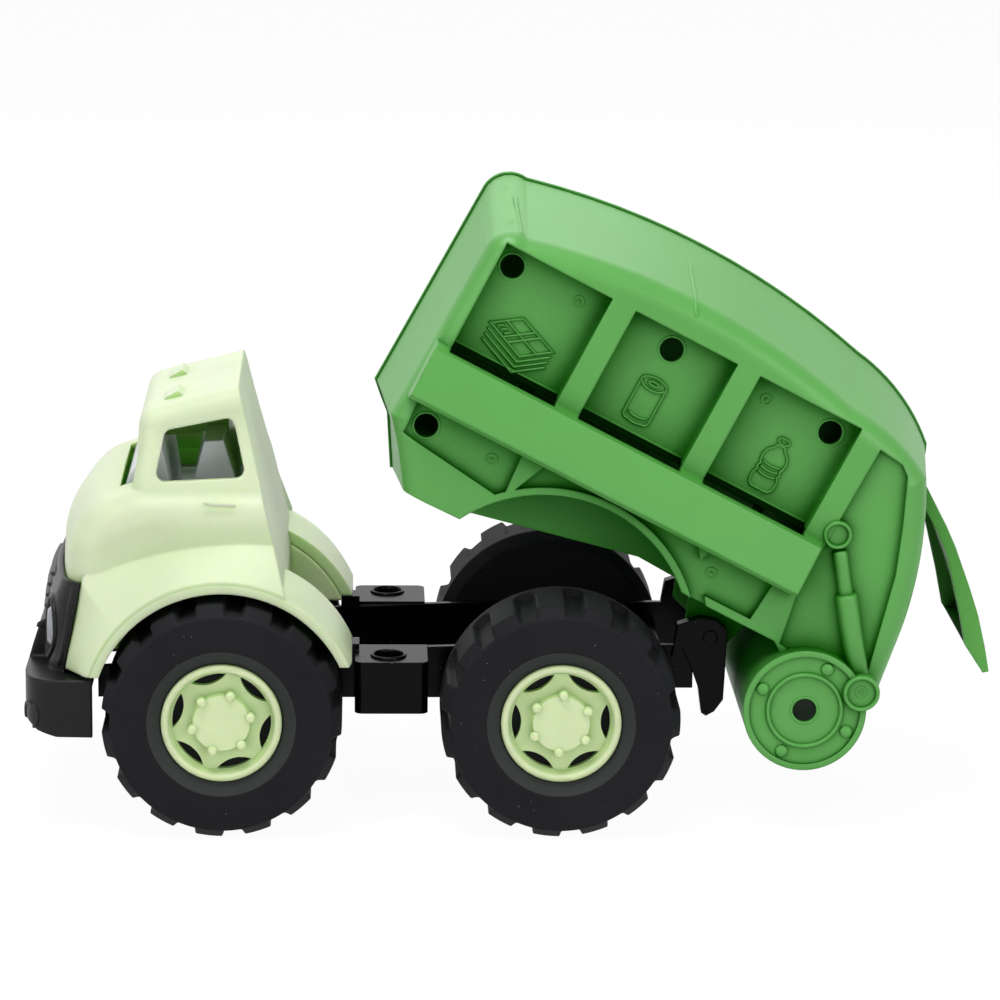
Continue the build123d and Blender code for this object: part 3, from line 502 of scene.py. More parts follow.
def plastic(name, colour, roughness, grain=0.05, drift=0.04, specks=0.0, scatter=0.0, shine=0.5,
            soft=1.0, painted_shade=0.0, shade_tint=BODY_SHADE_TINT):
    """Moulded plastic: one colour that drifts a little, a fine grain and soft edges, with specks
    of dust, and painted shade in recesses where asked."""
    if bpy.data.materials.get(name):
        return bpy.data.materials[name]
    material = bpy.data.materials.new(name)
    material.use_nodes = True
    tree = material.node_tree
    link = tree.links.new
    shader = tree.nodes["Principled BSDF"]
    shader.inputs["Roughness"].default_value = roughness
    shader.inputs["IOR"].default_value = PLASTIC_IOR
    shader.inputs["Specular IOR Level"].default_value = shine
    if scatter:
        shader.inputs["Subsurface Weight"].default_value = scatter
        shader.inputs["Subsurface Radius"].default_value = SCATTER_REACH
        shader.inputs["Subsurface Scale"].default_value = SCATTER_DEPTH
    skin = shared_node(tree, "Moulded skin")
    paint = drifting_tone(tree, skin.outputs["Tone"], colour, drift)
    if specks:
        dust = shared_node(tree, "Dust specks")
        dust.inputs["Share"].default_value = specks
        paint = tinted(tree, paint, dust.outputs["Mask"], DUST_GREY)
    # Painted shade: recesses darken towards the tint and lose their shine.
    if painted_shade:
        paint = painted_recess_shade(tree, shader, paint, painted_shade, shade_tint, shine)
    link(paint, shader.inputs["Base Color"])
    edge = node(tree, "ShaderNodeBevel", {"samples": SHADER_SAMPLES},
                Radius=sizes().edge_round * soft)
    bump = node(tree, "ShaderNodeBump", Strength=grain, Distance=BUMP_DEPTH)
    link(edge.outputs["Normal"], bump.inputs["Normal"])
    link(skin.outputs["Height"], bump.inputs["Height"])
    link(bump.outputs["Normal"], shader.inputs["Normal"])
    return material


def plastics():
    """Every finish by its name. In each, grain is the strength of the fine bump, specks the share
    of dusty cells, scatter the light that goes below the skin, shine the specular level, soft the
    edge radius in edge rounds, and the last two set the painted shade in recesses: how strongly
    the mask darkens them, and the tint it multiplies in."""
    tint = bpy.context.scene.truck_colours
    return {
        "cab_green": plastic("Cab pale green plastic", tint.cab, 0.4,
                             scatter=0.5, shine=0.4, soft=3.0, painted_shade=1.1, shade_tint=CAB_SHADE_TINT),
        "rim_green": plastic("Rim green plastic", tint.rim, 0.34,
                             scatter=0.3, painted_shade=0.8, shade_tint=RIM_SHADE_TINT),
        "body_green": plastic("Body green plastic", tint.body, 0.4,
                              grain=0.07, shine=0.6, soft=2.5, painted_shade=1.8),
        "body_detail": plastic("Body detail green plastic", tint.body, 0.4,
                               grain=0.07, shine=0.55, soft=0.3, painted_shade=1.6),
        "gate_green": plastic("Tailgate green plastic", tint.gate, 0.4,
                              grain=0.07, shine=0.35, soft=1.5, painted_shade=1.1),
        "chassis_black": plastic("Chassis gloss black plastic", tint.chassis, 0.2,
                                 grain=0.03, shine=0.1, specks=0.004, soft=1.2),
        "bumper_black": plastic("Bumper soft black plastic", tint.bumper, 0.36,
                                grain=0.12, shine=0.25, soft=4.0),
        "insert_grey": plastic("Insert silver grey plastic", tint.insert, 0.34, soft=2.0),
        "lens_grey": plastic("Headlight grey plastic", LENS_GREY, 0.25, soft=2.0),
        # Painted shadow for the seam gap and the slots.
        "seam_shadow": plastic("Painted seam shadow green", SEAM_SHADOW_GREEN, 0.8, shine=0.0),
        # Painted light: the bead ring's lighter grey.
        "bead": plastic("Tyre bead painted light grey", BEAD_LIT_GREY, 0.6, grain=0.3, shine=0.15),
        "tyre": plastic("Tyre dark plastic", tint.tyre, 0.6,
                        grain=0.3, drift=0.1, specks=0.008, shine=0.08),
    }


# Each solid's finish.
NODE_FINISHES = {
    "chassis": "chassis_black", "cab": "cab_green", "bumper": "bumper_black",
    "cab_insert": "insert_grey", "headlights": "lens_grey", "front_rims": "rim_green",
    "rear_rims": "rim_green", "front_axle": "chassis_black", "rear_axle": "chassis_black",
    "body_left": "body_green", "body_right": "body_green", "pivot_pin": "chassis_black",
    "tailgate": "gate_green",
}

# ---- moulded pieces ----

class TRUCK_OT_mouldings(bpy.types.Operator):
    """Give every solid its plastic"""

    bl_idname = "truck.mouldings"
    bl_label = "Moulded pieces"

    def execute(self, context):
        finishes = plastics()
        for name, finish in NODE_FINISHES.items():
            slots = frame["nodes"][name].data.materials
            for index in range(len(slots)):
                slots[index] = finishes[finish]
        return {"FINISHED"}


# ---- tyres ----

TYRE_WIDTH = 38.0
GROOVE_REACH, GROOVE_DEPTHS = 29.0, (2.5, 3.3)
GROOVE_WALL, WALL_EASE = 1.7, 0.1
GROOVE_FLOOR_AT, LUG_EDGE = [0.9, 1.8], 0.9
SHOULDER_DROP, SHOULDER_RUN = 3.8, 5.0
BEAD_RADIUS, BEAD_DEPTH = 27.1, 3.2
SECTION_RADII = (0.3, 0.7, 1.2, 1.6, 1.6, 1.2, 0.5)
SECTION_STEP = 0.75
GROOVE_EDGE = 50.0


def tyre_section(outer_side, inner_side, radius, bore):
    """Closed section of the tyre as (radius, y) points, in millimetres: its corners become arcs,
    and each side is cut into even steps but for the last, the bore, which the rim hides."""
    edge = radius - SHOULDER_DROP
    corners = [(bore, outer_side - BEAD_DEPTH), (BEAD_RADIUS, outer_side), (edge, outer_side),
               (radius, outer_side - SHOULDER_RUN), (radius, inner_side + SHOULDER_RUN),
               (edge, inner_side), (bore, inner_side)]
    points = rounded(corners, SECTION_RADII)
    lengths = np.linalg.norm(np.diff(points, axis=0, append=points[:1]), axis=1)
    counts = np.maximum(1, (lengths / SECTION_STEP).astype(int))
    counts[-1] = 1
    return np.concatenate([a + (b - a) * np.linspace(0, 1, count, endpoint=False)[:, None]
                           for a, b, count in zip(points, np.roll(points, -1, 0), counts)])


def groove_angles(count, width, radius):
    """Angles round a tyre, dense at the walls of the grooves."""
    half, pitch = width / 2, 2 * math.pi * radius / count
    wall = np.linspace(half - GROOVE_WALL - WALL_EASE, half + WALL_EASE, 7)
    lug = np.linspace(half + LUG_EDGE, pitch / 2, 4)[:-1]
    side = np.concatenate([GROOVE_FLOOR_AT, wall, lug])
    one = np.concatenate([-side[::-1], [0], side, [pitch / 2]]) / radius
    return (circle_angles(count)[:, None] + one[None, :]).ravel()


def tyre_grid(centre, side):
    """Tyre as its section turned about the axle. Inside a groove the radius drops towards the
    groove's floor by a smooth step of the distance from the groove's middle line, which ends in a
    half circle."""
    size = sizes()
    radius, outer_side = (TYRE_HIGH.z - TYRE_LOW.z) / 2 / MM, TYRE_HIGH.y / MM
    bore = (RIM_HIGH.z - RIM_LOW.z) / 2 / MM
    section = tyre_section(outer_side, outer_side - TYRE_WIDTH, radius, bore)
    width = size.groove_width / MM
    angles = groove_angles(size.groove_count, width, radius)
    turn, r = np.meshgrid(angles, section[:, 0], indexing="ij")
    y = np.broadcast_to(section[:, 1], r.shape)
    pitch = 2 * math.pi / size.groove_count
    across = (np.mod(turn + pitch / 2, pitch) - pitch / 2) * radius
    end = outer_side - GROOVE_REACH + width / 2
    away = np.hypot(across, np.minimum(y - end, 0))
    share = np.clip((width / 2 + WALL_EASE - away) / GROOVE_WALL, 0, 1)
    share = share * share * (3 - 2 * share)
    along = np.clip((y - (outer_side - GROOVE_REACH)) / GROOVE_REACH, 0, 1)
    floor = radius - GROOVE_DEPTHS[0] - (GROOVE_DEPTHS[1] - GROOVE_DEPTHS[0]) * along
    r = r - share * np.maximum(r - floor, 0)
    angle = turn + size.groove_turn
    return np.stack([r * np.sin(angle), side * y, r * np.cos(angle)], -1) * MM + centre


class TRUCK_OT_tyres(bpy.types.Operator):
    """Make the four grooved tyres, one piece for each axle"""

    bl_idname = "truck.tyres"
    bl_label = "Tyres"

    def execute(self, context):
        for name, centre in (("front", FRONT_AXLE), ("rear", REAR_AXLE)):
            grids = [(tyre_grid(centre, side), True, True) for side in (1, -1)]
            piece = mesh_piece(name + "_grooved_tyres", grids, "tyre", name + "_wheels",
                               sharp=GROOVE_EDGE)
            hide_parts(name + "_tyres")
        return {"FINISHED"}


# ---- details of the wheels ----

# Each row: wheels, middle of the axle, turn of the rim's pattern in degrees.
WHEELS = (("front", FRONT_AXLE, -14.0), ("rear", REAR_AXLE, 0.0))
KNOB_COUNT, KNOB_AT, KNOB_RISE, KNOB_SUNK, KNOB_TURN = 6, 10.5, 1.3, 1.4, 56.0
HUB_FACE = 75.4
RIM_RING = (18.9, 21.4, 75.0, 0.8, 0.4)
BEAD_RING = [(21.9, 73.3), (21.9, 74.2), (26.6, 76.88), (26.9, 76.4)]
LENS_COUNT, LENS_R, LENS_AT, LENS_OUT = 6, 10.9, 25.1, 17.6
LENS_PLATE, LENS_STEPS = 69.4, (15, 5)


class TRUCK_OT_hub_knobs(bpy.types.Operator):
    """Make the six pegs on each hub and the lip round each rim"""

    bl_idname = "truck.hub_knobs"
    bl_label = "Hub knobs"

    def execute(self, context):
        peg = peg_profile(sizes().knob_radius, KNOB_RISE * MM, KNOB_SUNK * MM)
        for name, centre, phase in WHEELS:
            grids = []
            for k in range(KNOB_COUNT):
                angle = math.radians(phase + KNOB_TURN + k * 360 / KNOB_COUNT)
                place = np.array([math.sin(angle) * KNOB_AT, HUB_FACE, math.cos(angle) * KNOB_AT])
                grids.append((turned_grid(peg, centre + place * MM, circle_angles(PEG_STEPS)),
                              True, False))
            mesh_piece(name + "_hub_knobs", mirrored(grids), "rim_green", name + "_wheels")
            lip = turned_grid(ring_profile(*RIM_RING) * MM, centre, circle_angles(RING_STEPS))
            mesh_piece(name + "_rim_lips", mirrored([(lip, True, False)]), "rim_green",
                       name + "_wheels")
        return {"FINISHED"}


def lens_grid(centre, degrees):
    """Plate in one lens-shaped pocket: for each share along the lens it runs between the pocket's
    two arcs, the near one about a point outside the rim and the far one about the axle."""
    tip = (LENS_AT ** 2 + LENS_OUT ** 2 - LENS_R ** 2) / (2 * LENS_AT)
    half = math.sqrt(LENS_OUT ** 2 - tip ** 2)
    across, share = np.meshgrid(np.linspace(-half, half, LENS_STEPS[0]),
                                np.linspace(0, 1, LENS_STEPS[1]), indexing="ij")
    near = LENS_AT - np.sqrt(np.maximum(LENS_R ** 2 - across ** 2, 0))
    far = np.sqrt(LENS_OUT ** 2 - across ** 2)
    out = near + (far - near) * share
    turn = math.radians(degrees)
    x = across * math.cos(turn) + out * math.sin(turn)
    z = out * math.cos(turn) - across * math.sin(turn)
    return np.stack([x, np.full_like(x, LENS_PLATE), z], -1) * MM + centre


class TRUCK_OT_pocket_plates(bpy.types.Operator):
    """Make the black plates seen in the pockets of each rim, and the bead ring round it, whose
    lighter grey is painted light
    """

    bl_idname = "truck.pocket_plates"
    bl_label = "Rim pocket plates"

    def execute(self, context):
        for name, centre, phase in WHEELS:
            turns = [phase + (k + 0.5) * 360 / LENS_COUNT for k in range(LENS_COUNT)]
            plates = [(lens_grid(centre, turn), False, False) for turn in turns]
            mesh_piece(name + "_pocket_plates", mirrored(plates), "tyre", name + "_wheels")
            # The bead ring's lighter grey is painted light on the tyre's bead cone.
            bead = turned_grid(np.array(BEAD_RING) * MM, centre, circle_angles(RING_STEPS))
            mesh_piece(name + "_tyre_beads", mirrored([(bead, True, False)]), "bead",
                       name + "_wheels")
        return {"FINISHED"}


# ---- seam of the tipping body ----

# Each row: corner x, corner z, then a middle point of the arc that leads to it, if it is one.
SEAM_ROWS = [
    (-99.3, 113.0, None, None), (-97.9, 116.5, None, None), (-58.9, 134.6, -81.0, 127.9),
    (79.5, 134.4, 10.0, 142.9), (91.2, 124.0, 88.3, 131.6), (93.1, 43.6, None, None),
    (83.4, 35.1, None, None), (72.6, 17.0, None, None),
]
SEAM_ARC_STEPS = 12
SEAM_RIB = [(-0.2, -0.4), (-0.3, 0.7), (-0.6, 0.95), (-1.5, 0.9), (-1.9, 0.6), (-2.1, -0.4)]
SEAM_GAP_SHADOW = [(0.25, -0.3), (0.25, 0.06), (-0.05, 0.12), (-0.35, 0.06), (-0.35, -0.3)]


def seam_path():
    """The seam's rows as points, with each arc on the circle through its two ends and its middle
    point, whose centre is as far from all three."""
    points = [np.array(SEAM_ROWS[0][:2])]
    for x, z, mx, mz in SEAM_ROWS[1:]:
        start, end = points[-1], np.array([x, z])
        if mx is None:
            points += [start + (end - start) * share for share in (0.5, 1.0)]
            continue
        middle = np.array([mx, mz])
        rows = np.stack([middle - start, end - start]) * 2
        sums = np.array([middle @ middle - start @ start, end @ end - start @ start])
        centre = np.linalg.solve(rows, sums)
        first, last = (math.atan2(*(p - centre)[::-1]) for p in (start, end))
        turn = math.remainder(last - first, 2 * math.pi)
        radius = np.linalg.norm(start - centre)
        angles = first + turn * np.linspace(0, 1, SEAM_ARC_STEPS + 1)[1:]
        points += [centre + radius * np.array([math.cos(t), math.sin(t)]) for t in angles]
    return np.array(points)


def swept_strip(path, section):
    """Closed section of (y, outward) points carried along the seam, on normals that face away
    from the body."""
    step = np.gradient(path, axis=0)
    step /= np.linalg.norm(step, axis=1)[:, None]
    out = np.stack([-step[:, 1], step[:, 0]], -1)
    section = np.array(section)
    place = path[:, None, :] + out[:, None, :] * section[None, :, 1:2]
    y = np.broadcast_to(section[None, :, 0], place.shape[:2])
    return np.stack([place[..., 0], y, place[..., 1]], -1)


class TRUCK_OT_body_seam(bpy.types.Operator):
    """Make the lip along the seam between the two body halves, and a dark strip of painted shadow
    in its gap
    """

    bl_idname = "truck.body_seam"
    bl_label = "Body seam"

    def execute(self, context):
        path = seam_path()
        # The gap strip is painted shadow: its near-black green stands for the shade in the seam.
        for name, section, finish in (("seam_lip", SEAM_RIB, "body_green"),
                                      ("seam_gap_shadow", SEAM_GAP_SHADOW, "seam_shadow")):
            strip = on_body(swept_strip(path, section))
            mesh_piece(name, [(strip, False, True)], finish, "tipping_body")
        return {"FINISHED"}


# ---- raised details of the tipping body ----

PANEL_FACE, LOW_PANEL_FACE = 54.0, 58.4
DETAIL_SUNK = 0.4
DRUM, DRUM_FACE = (-93.0, 19.4), 65.5
DRUM_RING = (12.4, 14.1, DRUM_FACE, 1.1)
DRUM_BOLTS, DRUM_BOLT_AT, DRUM_BOLT_R, DRUM_BOLT_RISE = 4, 17.1, 2.4, 1.3
RAM_EYE, RAM_EYE_RING = (-73.0, 80.8), (3.7, 5.3, 60.6, 1.6)
RAM_FOOT, RAM_FOOT_RING = (-107.9, 34.6), (5.0, 6.7, 66.4, 1.4)
# Shares of the way from the ram's eye to its foot.
ROD_RUN, BARREL_RUN = (0.1, 0.44), (0.38, 1.0)
RAM_FLOOR = 58.8
RAM_ROD, RAM_BARREL = (2.8, 3.7), (4.1, 5.3)
PANEL_SPANS = [(38.8, 81.0), (-11.6, 29.6), (-62.1, -20.6)]
# The dark plates at the top of the slots are painted shadow, standing for the shade inside each
# slot.
SLOT_SHADOW_Z, SLOT_SHADOW_INSET, SLOT_SHADOW_Y = (76.0, 78.1), 0.1, (PANEL_FACE - 0.3, PANEL_FACE + 0.06)
SLOT_LIP_Z, SLOT_LIP_INSET, SLOT_LIP_LINE = 78.4, 0.4, (1.0, 0.6)
# Each row: level x, level z, height of the face it stands on.
PIN_MARKS = [
    (48.2, 111.1, PANEL_FACE), (-27.8, 111.1, PANEL_FACE), (-40.2, 47.0, LOW_PANEL_FACE),
    (49.1, 47.2, LOW_PANEL_FACE), (-107.6, 34.9, 66.4),
]
SCREW_LIPS = [
    (74.9, 111.3, PANEL_FACE), (10.7, 111.3, PANEL_FACE), (-53.9, 111.3, PANEL_FACE),
    (75.4, 47.3, LOW_PANEL_FACE), (DRUM[0], DRUM[1], DRUM_FACE),
]
PIN_RING, PIN_RING_RISE = (1.5, 2.3), 0.25
PIN_DOME, PIN_DOME_RISE = 0.7, 0.45
SCREW_RING, SCREW_RING_RISE = (4.3, 5.2), 0.22
# Each row: the two ends of a faint rib, as level x and z.
BODY_RIBS = [((82.5, 130.0), (77.0, 122.6)), ((15.5, 138.5), (9.4, 126.2))]
BODY_RIB_LINE, BODY_RIB_STEPS = (1.6, 0.3), 20
BESIDE_BODY = 0.12


def level_ring(x, z, inner, outer, base, rise):
    """Half ellipse turned to a ring on a side face of the level body, at its raised place."""
    profile = ring_profile(inner, outer, base, rise, DETAIL_SUNK)
    return on_body(turned_grid(profile, (x, 0, z), circle_angles(DETAIL_RING_STEPS))), True, False


def level_dome(x, z, radius, base, rise):
    """Quarter ellipse turned to a dome on a side face of the level body, at its raised place."""
    profile = dome_profile(radius, rise, DETAIL_SUNK)
    return on_body(turned_grid(profile, (x, base, z), circle_angles(DOME_STEPS))), True, False


def body_detail(name, grids):
    """One piece with the same details on both sides of the tipping body."""
    return mesh_piece(name, mirrored(grids), "body_detail", "tipping_body")


class TRUCK_OT_drum_fittings(bpy.types.Operator):
    """Make the inner ring and the four domed bolts of each drum end"""

    bl_idname = "truck.drum_fittings"
    bl_label = "Drum ring and bolts"

    def execute(self, context):
        body_detail("drum_rings", [level_ring(*DRUM, *DRUM_RING)])
        bolts = []
        for angle in circle_angles(DRUM_BOLTS):
            x, z = DRUM_BOLT_AT * math.cos(angle), DRUM_BOLT_AT * math.sin(angle)
            bolts.append(level_dome(DRUM[0] + x, DRUM[1] + z, DRUM_BOLT_R, DRUM_FACE,
                                    DRUM_BOLT_RISE))
        body_detail("drum_bolts", bolts)
        return {"FINISHED"}


def round_bar(start, end, half, rise, floor, power=2.6):
    """Rounded bar between two level (x, z) points on the plane y = floor: half a superellipse is
    carried along the line, and its size falls to a half at both ends as a quarter circle."""
    along = (end - start) / np.linalg.norm(end - start)
    across = np.array([-along[1], along[0]])
    t = np.linspace(0, math.pi / 2, 5)
    length = np.linalg.norm(end - start)
    run = np.concatenate([1 - np.cos(t), [2.0], length - 1 + np.cos(t[::-1])])
    size = np.concatenate([np.sin(t), [1.0], np.sin(t[::-1])]) * 0.5 + 0.5
    size[[0, -1]] = LINE_END
    turn = np.linspace(0, math.pi, 17)
    c, v = np.cos(turn), np.sin(turn)
    side = np.concatenate([[1], np.sign(c) * np.abs(c) ** (2 / power), [-1]]) * half
    high = np.concatenate([[-DETAIL_SUNK], np.abs(v) ** (2 / power) * rise, [-DETAIL_SUNK]])
    reach = side[None, :, None] * size[:, None, None]
    place = start + along * run[:, None, None] + across * reach
    return np.stack([place[..., 0], floor + high[None, :] * size[:, None], place[..., 1]], -1)


class TRUCK_OT_rams(bpy.types.Operator):
    """Make the rounded rod and barrel of each moulded ram, and the rings round its eye and foot"""

    bl_idname = "truck.rams"
    bl_label = "Rams"

    def execute(self, context):
        eye, foot = np.array(RAM_EYE), np.array(RAM_FOOT)
        bars = []
        for (first, last), section in ((ROD_RUN, RAM_ROD), (BARREL_RUN, RAM_BARREL)):
            bar = round_bar(eye + (foot - eye) * first, eye + (foot - eye) * last, *section,
                            RAM_FLOOR)
            bars.append((on_body(bar), False, False))
        body_detail("ram_rods", bars)
        body_detail("ram_rings", [level_ring(*RAM_EYE, *RAM_EYE_RING),
                                  level_ring(*RAM_FOOT, *RAM_FOOT_RING)])
        return {"FINISHED"}


def level_plate(x0, x1, z0, z1, y0, y1):
    """Flat plate on the level body as a grid over a box: an upright loop in y and z, narrowed to
    a point at each end of its run in x."""
    loop = np.array([(y0, z0), (y1, z0), (y1, z1), (y0, z1), (y0, z0)])
    end = np.broadcast_to(loop[:4].mean(0), loop.shape)
    rows = zip((x0, x0, x1, x1), (end, loop, loop, end))
    return on_body(np.stack([np.insert(row, 0, x, 1) for x, row in rows]))


class TRUCK_OT_slot_edges(bpy.types.Operator):
    """Make a dark plate of painted shadow and the thin lip along the top of each slot under a panel
    """

    bl_idname = "truck.slot_edges"
    bl_label = "Slot edges"

    def execute(self, context):
        gaps, lips = [], []
        for x0, x1 in PANEL_SPANS:
            gap = level_plate(x0 + SLOT_SHADOW_INSET, x1 - SLOT_SHADOW_INSET, *SLOT_SHADOW_Z, *SLOT_SHADOW_Y)
            gaps.append((gap, False, False))
            path = [(x0 + SLOT_LIP_INSET, SLOT_LIP_Z), (x1 - SLOT_LIP_INSET, SLOT_LIP_Z)]
            lip = line_grid(path, *SLOT_LIP_LINE, PANEL_FACE, False)
            lips.append((on_body(lip), False, False))
        mesh_piece("slot_gap_shadows", mirrored(gaps), "seam_shadow", "tipping_body")
        body_detail("slot_lips", lips)
        return {"FINISHED"}


class TRUCK_OT_mould_marks(bpy.types.Operator):
    """Make the small round mould marks and the lips round the screw holes"""

    bl_idname = "truck.mould_marks"
    bl_label = "Mould marks"

    def execute(self, context):
        marks = []
        for x, z, face in PIN_MARKS:
            marks.append(level_ring(x, z, *PIN_RING, face, PIN_RING_RISE))
            marks.append(level_dome(x, z, PIN_DOME, face, PIN_DOME_RISE))
        body_detail("mould_marks", marks)
        body_detail("screw_hole_lips", [level_ring(x, z, *SCREW_RING, face, SCREW_RING_RISE)
                                        for x, z, face in SCREW_LIPS])
        return {"FINISHED"}


# ---- raised pictures on the side panels ----

def arc(x, z, wide, high, start, end, count=18):
    """Points on an ellipse between two angles in degrees."""
    t = np.radians(np.linspace(start, end, count))
    return np.stack([x + wide * np.cos(t), z + high * np.sin(t)], -1)


def paper_picture():
    """Lines of a tied stack of paper: a slanted top sheet with two strings and marks between its
    corners, and the edges of the sheets below."""
    top = np.array([(-12.2, 1.6), (-2.6, 8.2), (12.4, 2.4), (2.6, -4.6)])
    left, back, right, front = top
    lines = [(top, True)] + [(top[[0, 3, 2]] - (0, drop), False) for drop in (2.1, 4.2, 6.3)]
    for share in (0.42, 0.58):
        string = [left + (front - left) * share, back + (right - back) * share]
        lines.append((np.array(string), False))
    lines.append((np.array([left + (back - left) * 0.5, front + (right - front) * 0.5]), False))
    for share in (0.1, 0.22, 0.34):
        start = left + (front - left) * share
        mark = [start + (back - left) * 0.12, start + (back - left) * 0.32]
        lines.append((np.array(mark), False))
    return lines


def can_picture():
    """Lines of a drinks can: its outline, the lid with a pull tab, and a line above the foot."""
    wide, lid, foot = 5.0, 6.6, -8.6
    outline = np.concatenate([
        arc(0, lid, wide, 2.4, 0, 180), arc(2.2 - wide, foot + 2.0, 2.2, 2.0, 180, 250, 6),
        arc(0, foot + 1.2, wide - 1.4, 1.5, 222, 318, 10),
        arc(wide - 2.2, foot + 2.0, 2.2, 2.0, 290, 360, 6)])
    return [(outline, True), (arc(0, lid - 0.2, wide - 0.5, 2.2, 183, 357), False),
            (arc(0, lid + 0.1, 2.0, 0.75, 0, 330), True),
            (arc(0, foot + 3.4, wide - 1.2, 1.4, 205, 335), False)]


def bottle_picture():
    """Lines of a drinks bottle: cap ring, round shoulders, waisted body and three bands."""
    right = [(1.5, 7.6), (2.0, 6.4), (4.0, 4.6), (4.8, 2.2), (4.5, 0.2), (3.9, -1.0),
             (4.6, -2.2), (4.0, -3.4), (4.7, -4.6), (4.9, -6.6), (4.5, -8.6), (3.2, -9.8)]
    outline = np.array(right + [(-x, z) for x, z in right[::-1]])
    bands = [(arc(0, z, 3.9, 1.5, 210, 330), False) for z in (1.0, -1.0, -3.0)]
    return [(arc(0, 9.4, 2.2, 1.2, 0, 345), True), (outline, True)] + bands


# Each row: picture, level x and level z of its middle.
PICTURES = [
    (paper_picture, 60.0, 88.4), (can_picture, 10.3, 90.7), (bottle_picture, -40.9, 91.2),
]


class TRUCK_OT_panel_pictures(bpy.types.Operator):
    """Make the raised line pictures of paper, a can and a bottle on the side panels"""

    bl_idname = "truck.panel_pictures"
    bl_label = "Panel pictures"

    def execute(self, context):
        width, rise = sizes().line_width / MM, sizes().line_rise / MM
        for picture, x, z in PICTURES:
            grids = []
            for path, closed in picture():
                line = line_grid(path * (-1, 1) + (x, z), width, rise, PANEL_FACE, closed)
                grids.append((on_body(line), closed, False))
            body_detail(picture.__name__, grids)
        return {"FINISHED"}


# ---- frame and cab ----

TANK_AT, TANK_RING = (61.5, 47.3), (5.2, 6.6, 60.5, 0.9, 0.5)
FENDER_R, FENDER_THICK = 50.6, 4.2
FENDER_WALL_X, FENDER_WALL_Y, FENDER_WALL_LOW = (-42.0, -21.0), (27.9, 29.5), 19.0
FENDER_WALL_STEPS = 25
ROOF_RIB_HALF = 1.2
ROOF_RIB = [
    (-0.5, 111.5), (-0.5, 91.0), (9.0, 90.5), (10.0, 89.5), (22.0, 89.0), (26.0, 93.0),
    (24.0, 105.3),
]
HANDLE_AT, HANDLE_FACE, HANDLE_LINE = (1.0, 75.6), 57.0, (1.1, 0.1)
HANDLE_PATH = [(-5.5, -0.5), (2.5, -0.2), (5.5, 0.5)]


class TRUCK_OT_tank_rings(bpy.types.Operator):
    """Make the raised ring round each tank's filler hole"""

    bl_idname = "truck.tank_rings"
    bl_label = "Tank rings"

    def execute(self, context):
        profile = ring_profile(*TANK_RING) * MM
        centre = (REAR_AXLE[0] + TANK_AT[0] * MM, TANK_AT[1] * MM, 0)
        ring = turned_grid(profile, centre, circle_angles(DETAIL_RING_STEPS), axis=2)
        mesh_piece("tank_filler_rings", mirrored([(ring, True, False)]), "chassis_black", "frame")
        return {"FINISHED"}


def fender_wall():
    """Wall under a fender: an upright loop from its low edge up to the circle of the fender's
    inner face, carried along x and drawn to a point at both ends."""
    xs = np.linspace(*FENDER_WALL_X, FENDER_WALL_STEPS)
    top = np.sqrt((FENDER_R - FENDER_THICK) ** 2 - xs ** 2)
    low = np.full_like(xs, FENDER_WALL_LOW)
    y0, y1 = FENDER_WALL_Y
    corners = ((y0, low), (y1, low), (y1, top), (y0, top), (y0, low))
    loop = np.stack([np.stack([xs, np.full_like(xs, y), z], -1) for y, z in corners], 1)
    ends = [loop[k:k + 1].mean(1, keepdims=True).repeat(5, 1) for k in (0, len(xs) - 1)]
    return np.concatenate([ends[0], loop, ends[1]])


def roof_rib():
    """Flat rib: its outline at both faces, drawn in to the outline's middle on each."""
    outline = np.array(ROOF_RIB)
    middle = outline.mean(0)
    rows = [(-ROOF_RIB_HALF, 0), (-ROOF_RIB_HALF, 1), (ROOF_RIB_HALF, 1), (ROOF_RIB_HALF, 0)]
    return np.stack([np.insert(middle + (outline - middle) * share, 1, y, 1)
                     for y, share in rows])


class TRUCK_OT_cab_walls(bpy.types.Operator):
    """Make the inner wall of each fender behind the cab, and the rib under the cab's roof"""

    bl_idname = "truck.cab_walls"
    bl_label = "Cab inner walls"

    def execute(self, context):
        wall = from_front_axle(fender_wall())
        mesh_piece("fender_inner_walls", mirrored([(wall, False, False)]), "cab_green", "frame")
        mesh_piece("roof_rib", [(from_front_axle(roof_rib()), False, True)], "cab_green", "frame")
        return {"FINISHED"}


# ---- details laid on the mask and the bumper ----

RAY_START, FOG_RAY_RUN = 120.0, 40.0
GRILLE_STEPS, LAMP_STEPS, FLANGE_STEPS = 33, 48, 24
GRILLE_Z, GRILLE_HALF, GRILLE_LINE = (29.4, 33.4, 37.4, 41.4), 24.0, (1.7, 1.3)
LAMP_CENTRE, LAMP_LIP, LAMP_LINE = (43.5, 27.5), (10.0, 11.4), (1.8, 1.0)
FLANGE = [(52.6, 46.5), (54.4, 38.0), (55.6, 30.0), (57.4, 22.0), (58.9, 15.4)]
FLANGE_LINE = (2.6, 0.8)
FOG_PLACE, FOG_TURN, FOG_RADIUS, FOG_LINE = (64.0, 56.0, -0.5), 50.0, 4.6, (1.4, 0.7)


def bumper_line(points, towards, line, closed):
    """Raised line where rays from points, in millimetres from the front axle, meet the bumper."""
    return laid_line(*laid_on("bumper", from_front_axle(points), towards), *line, closed)


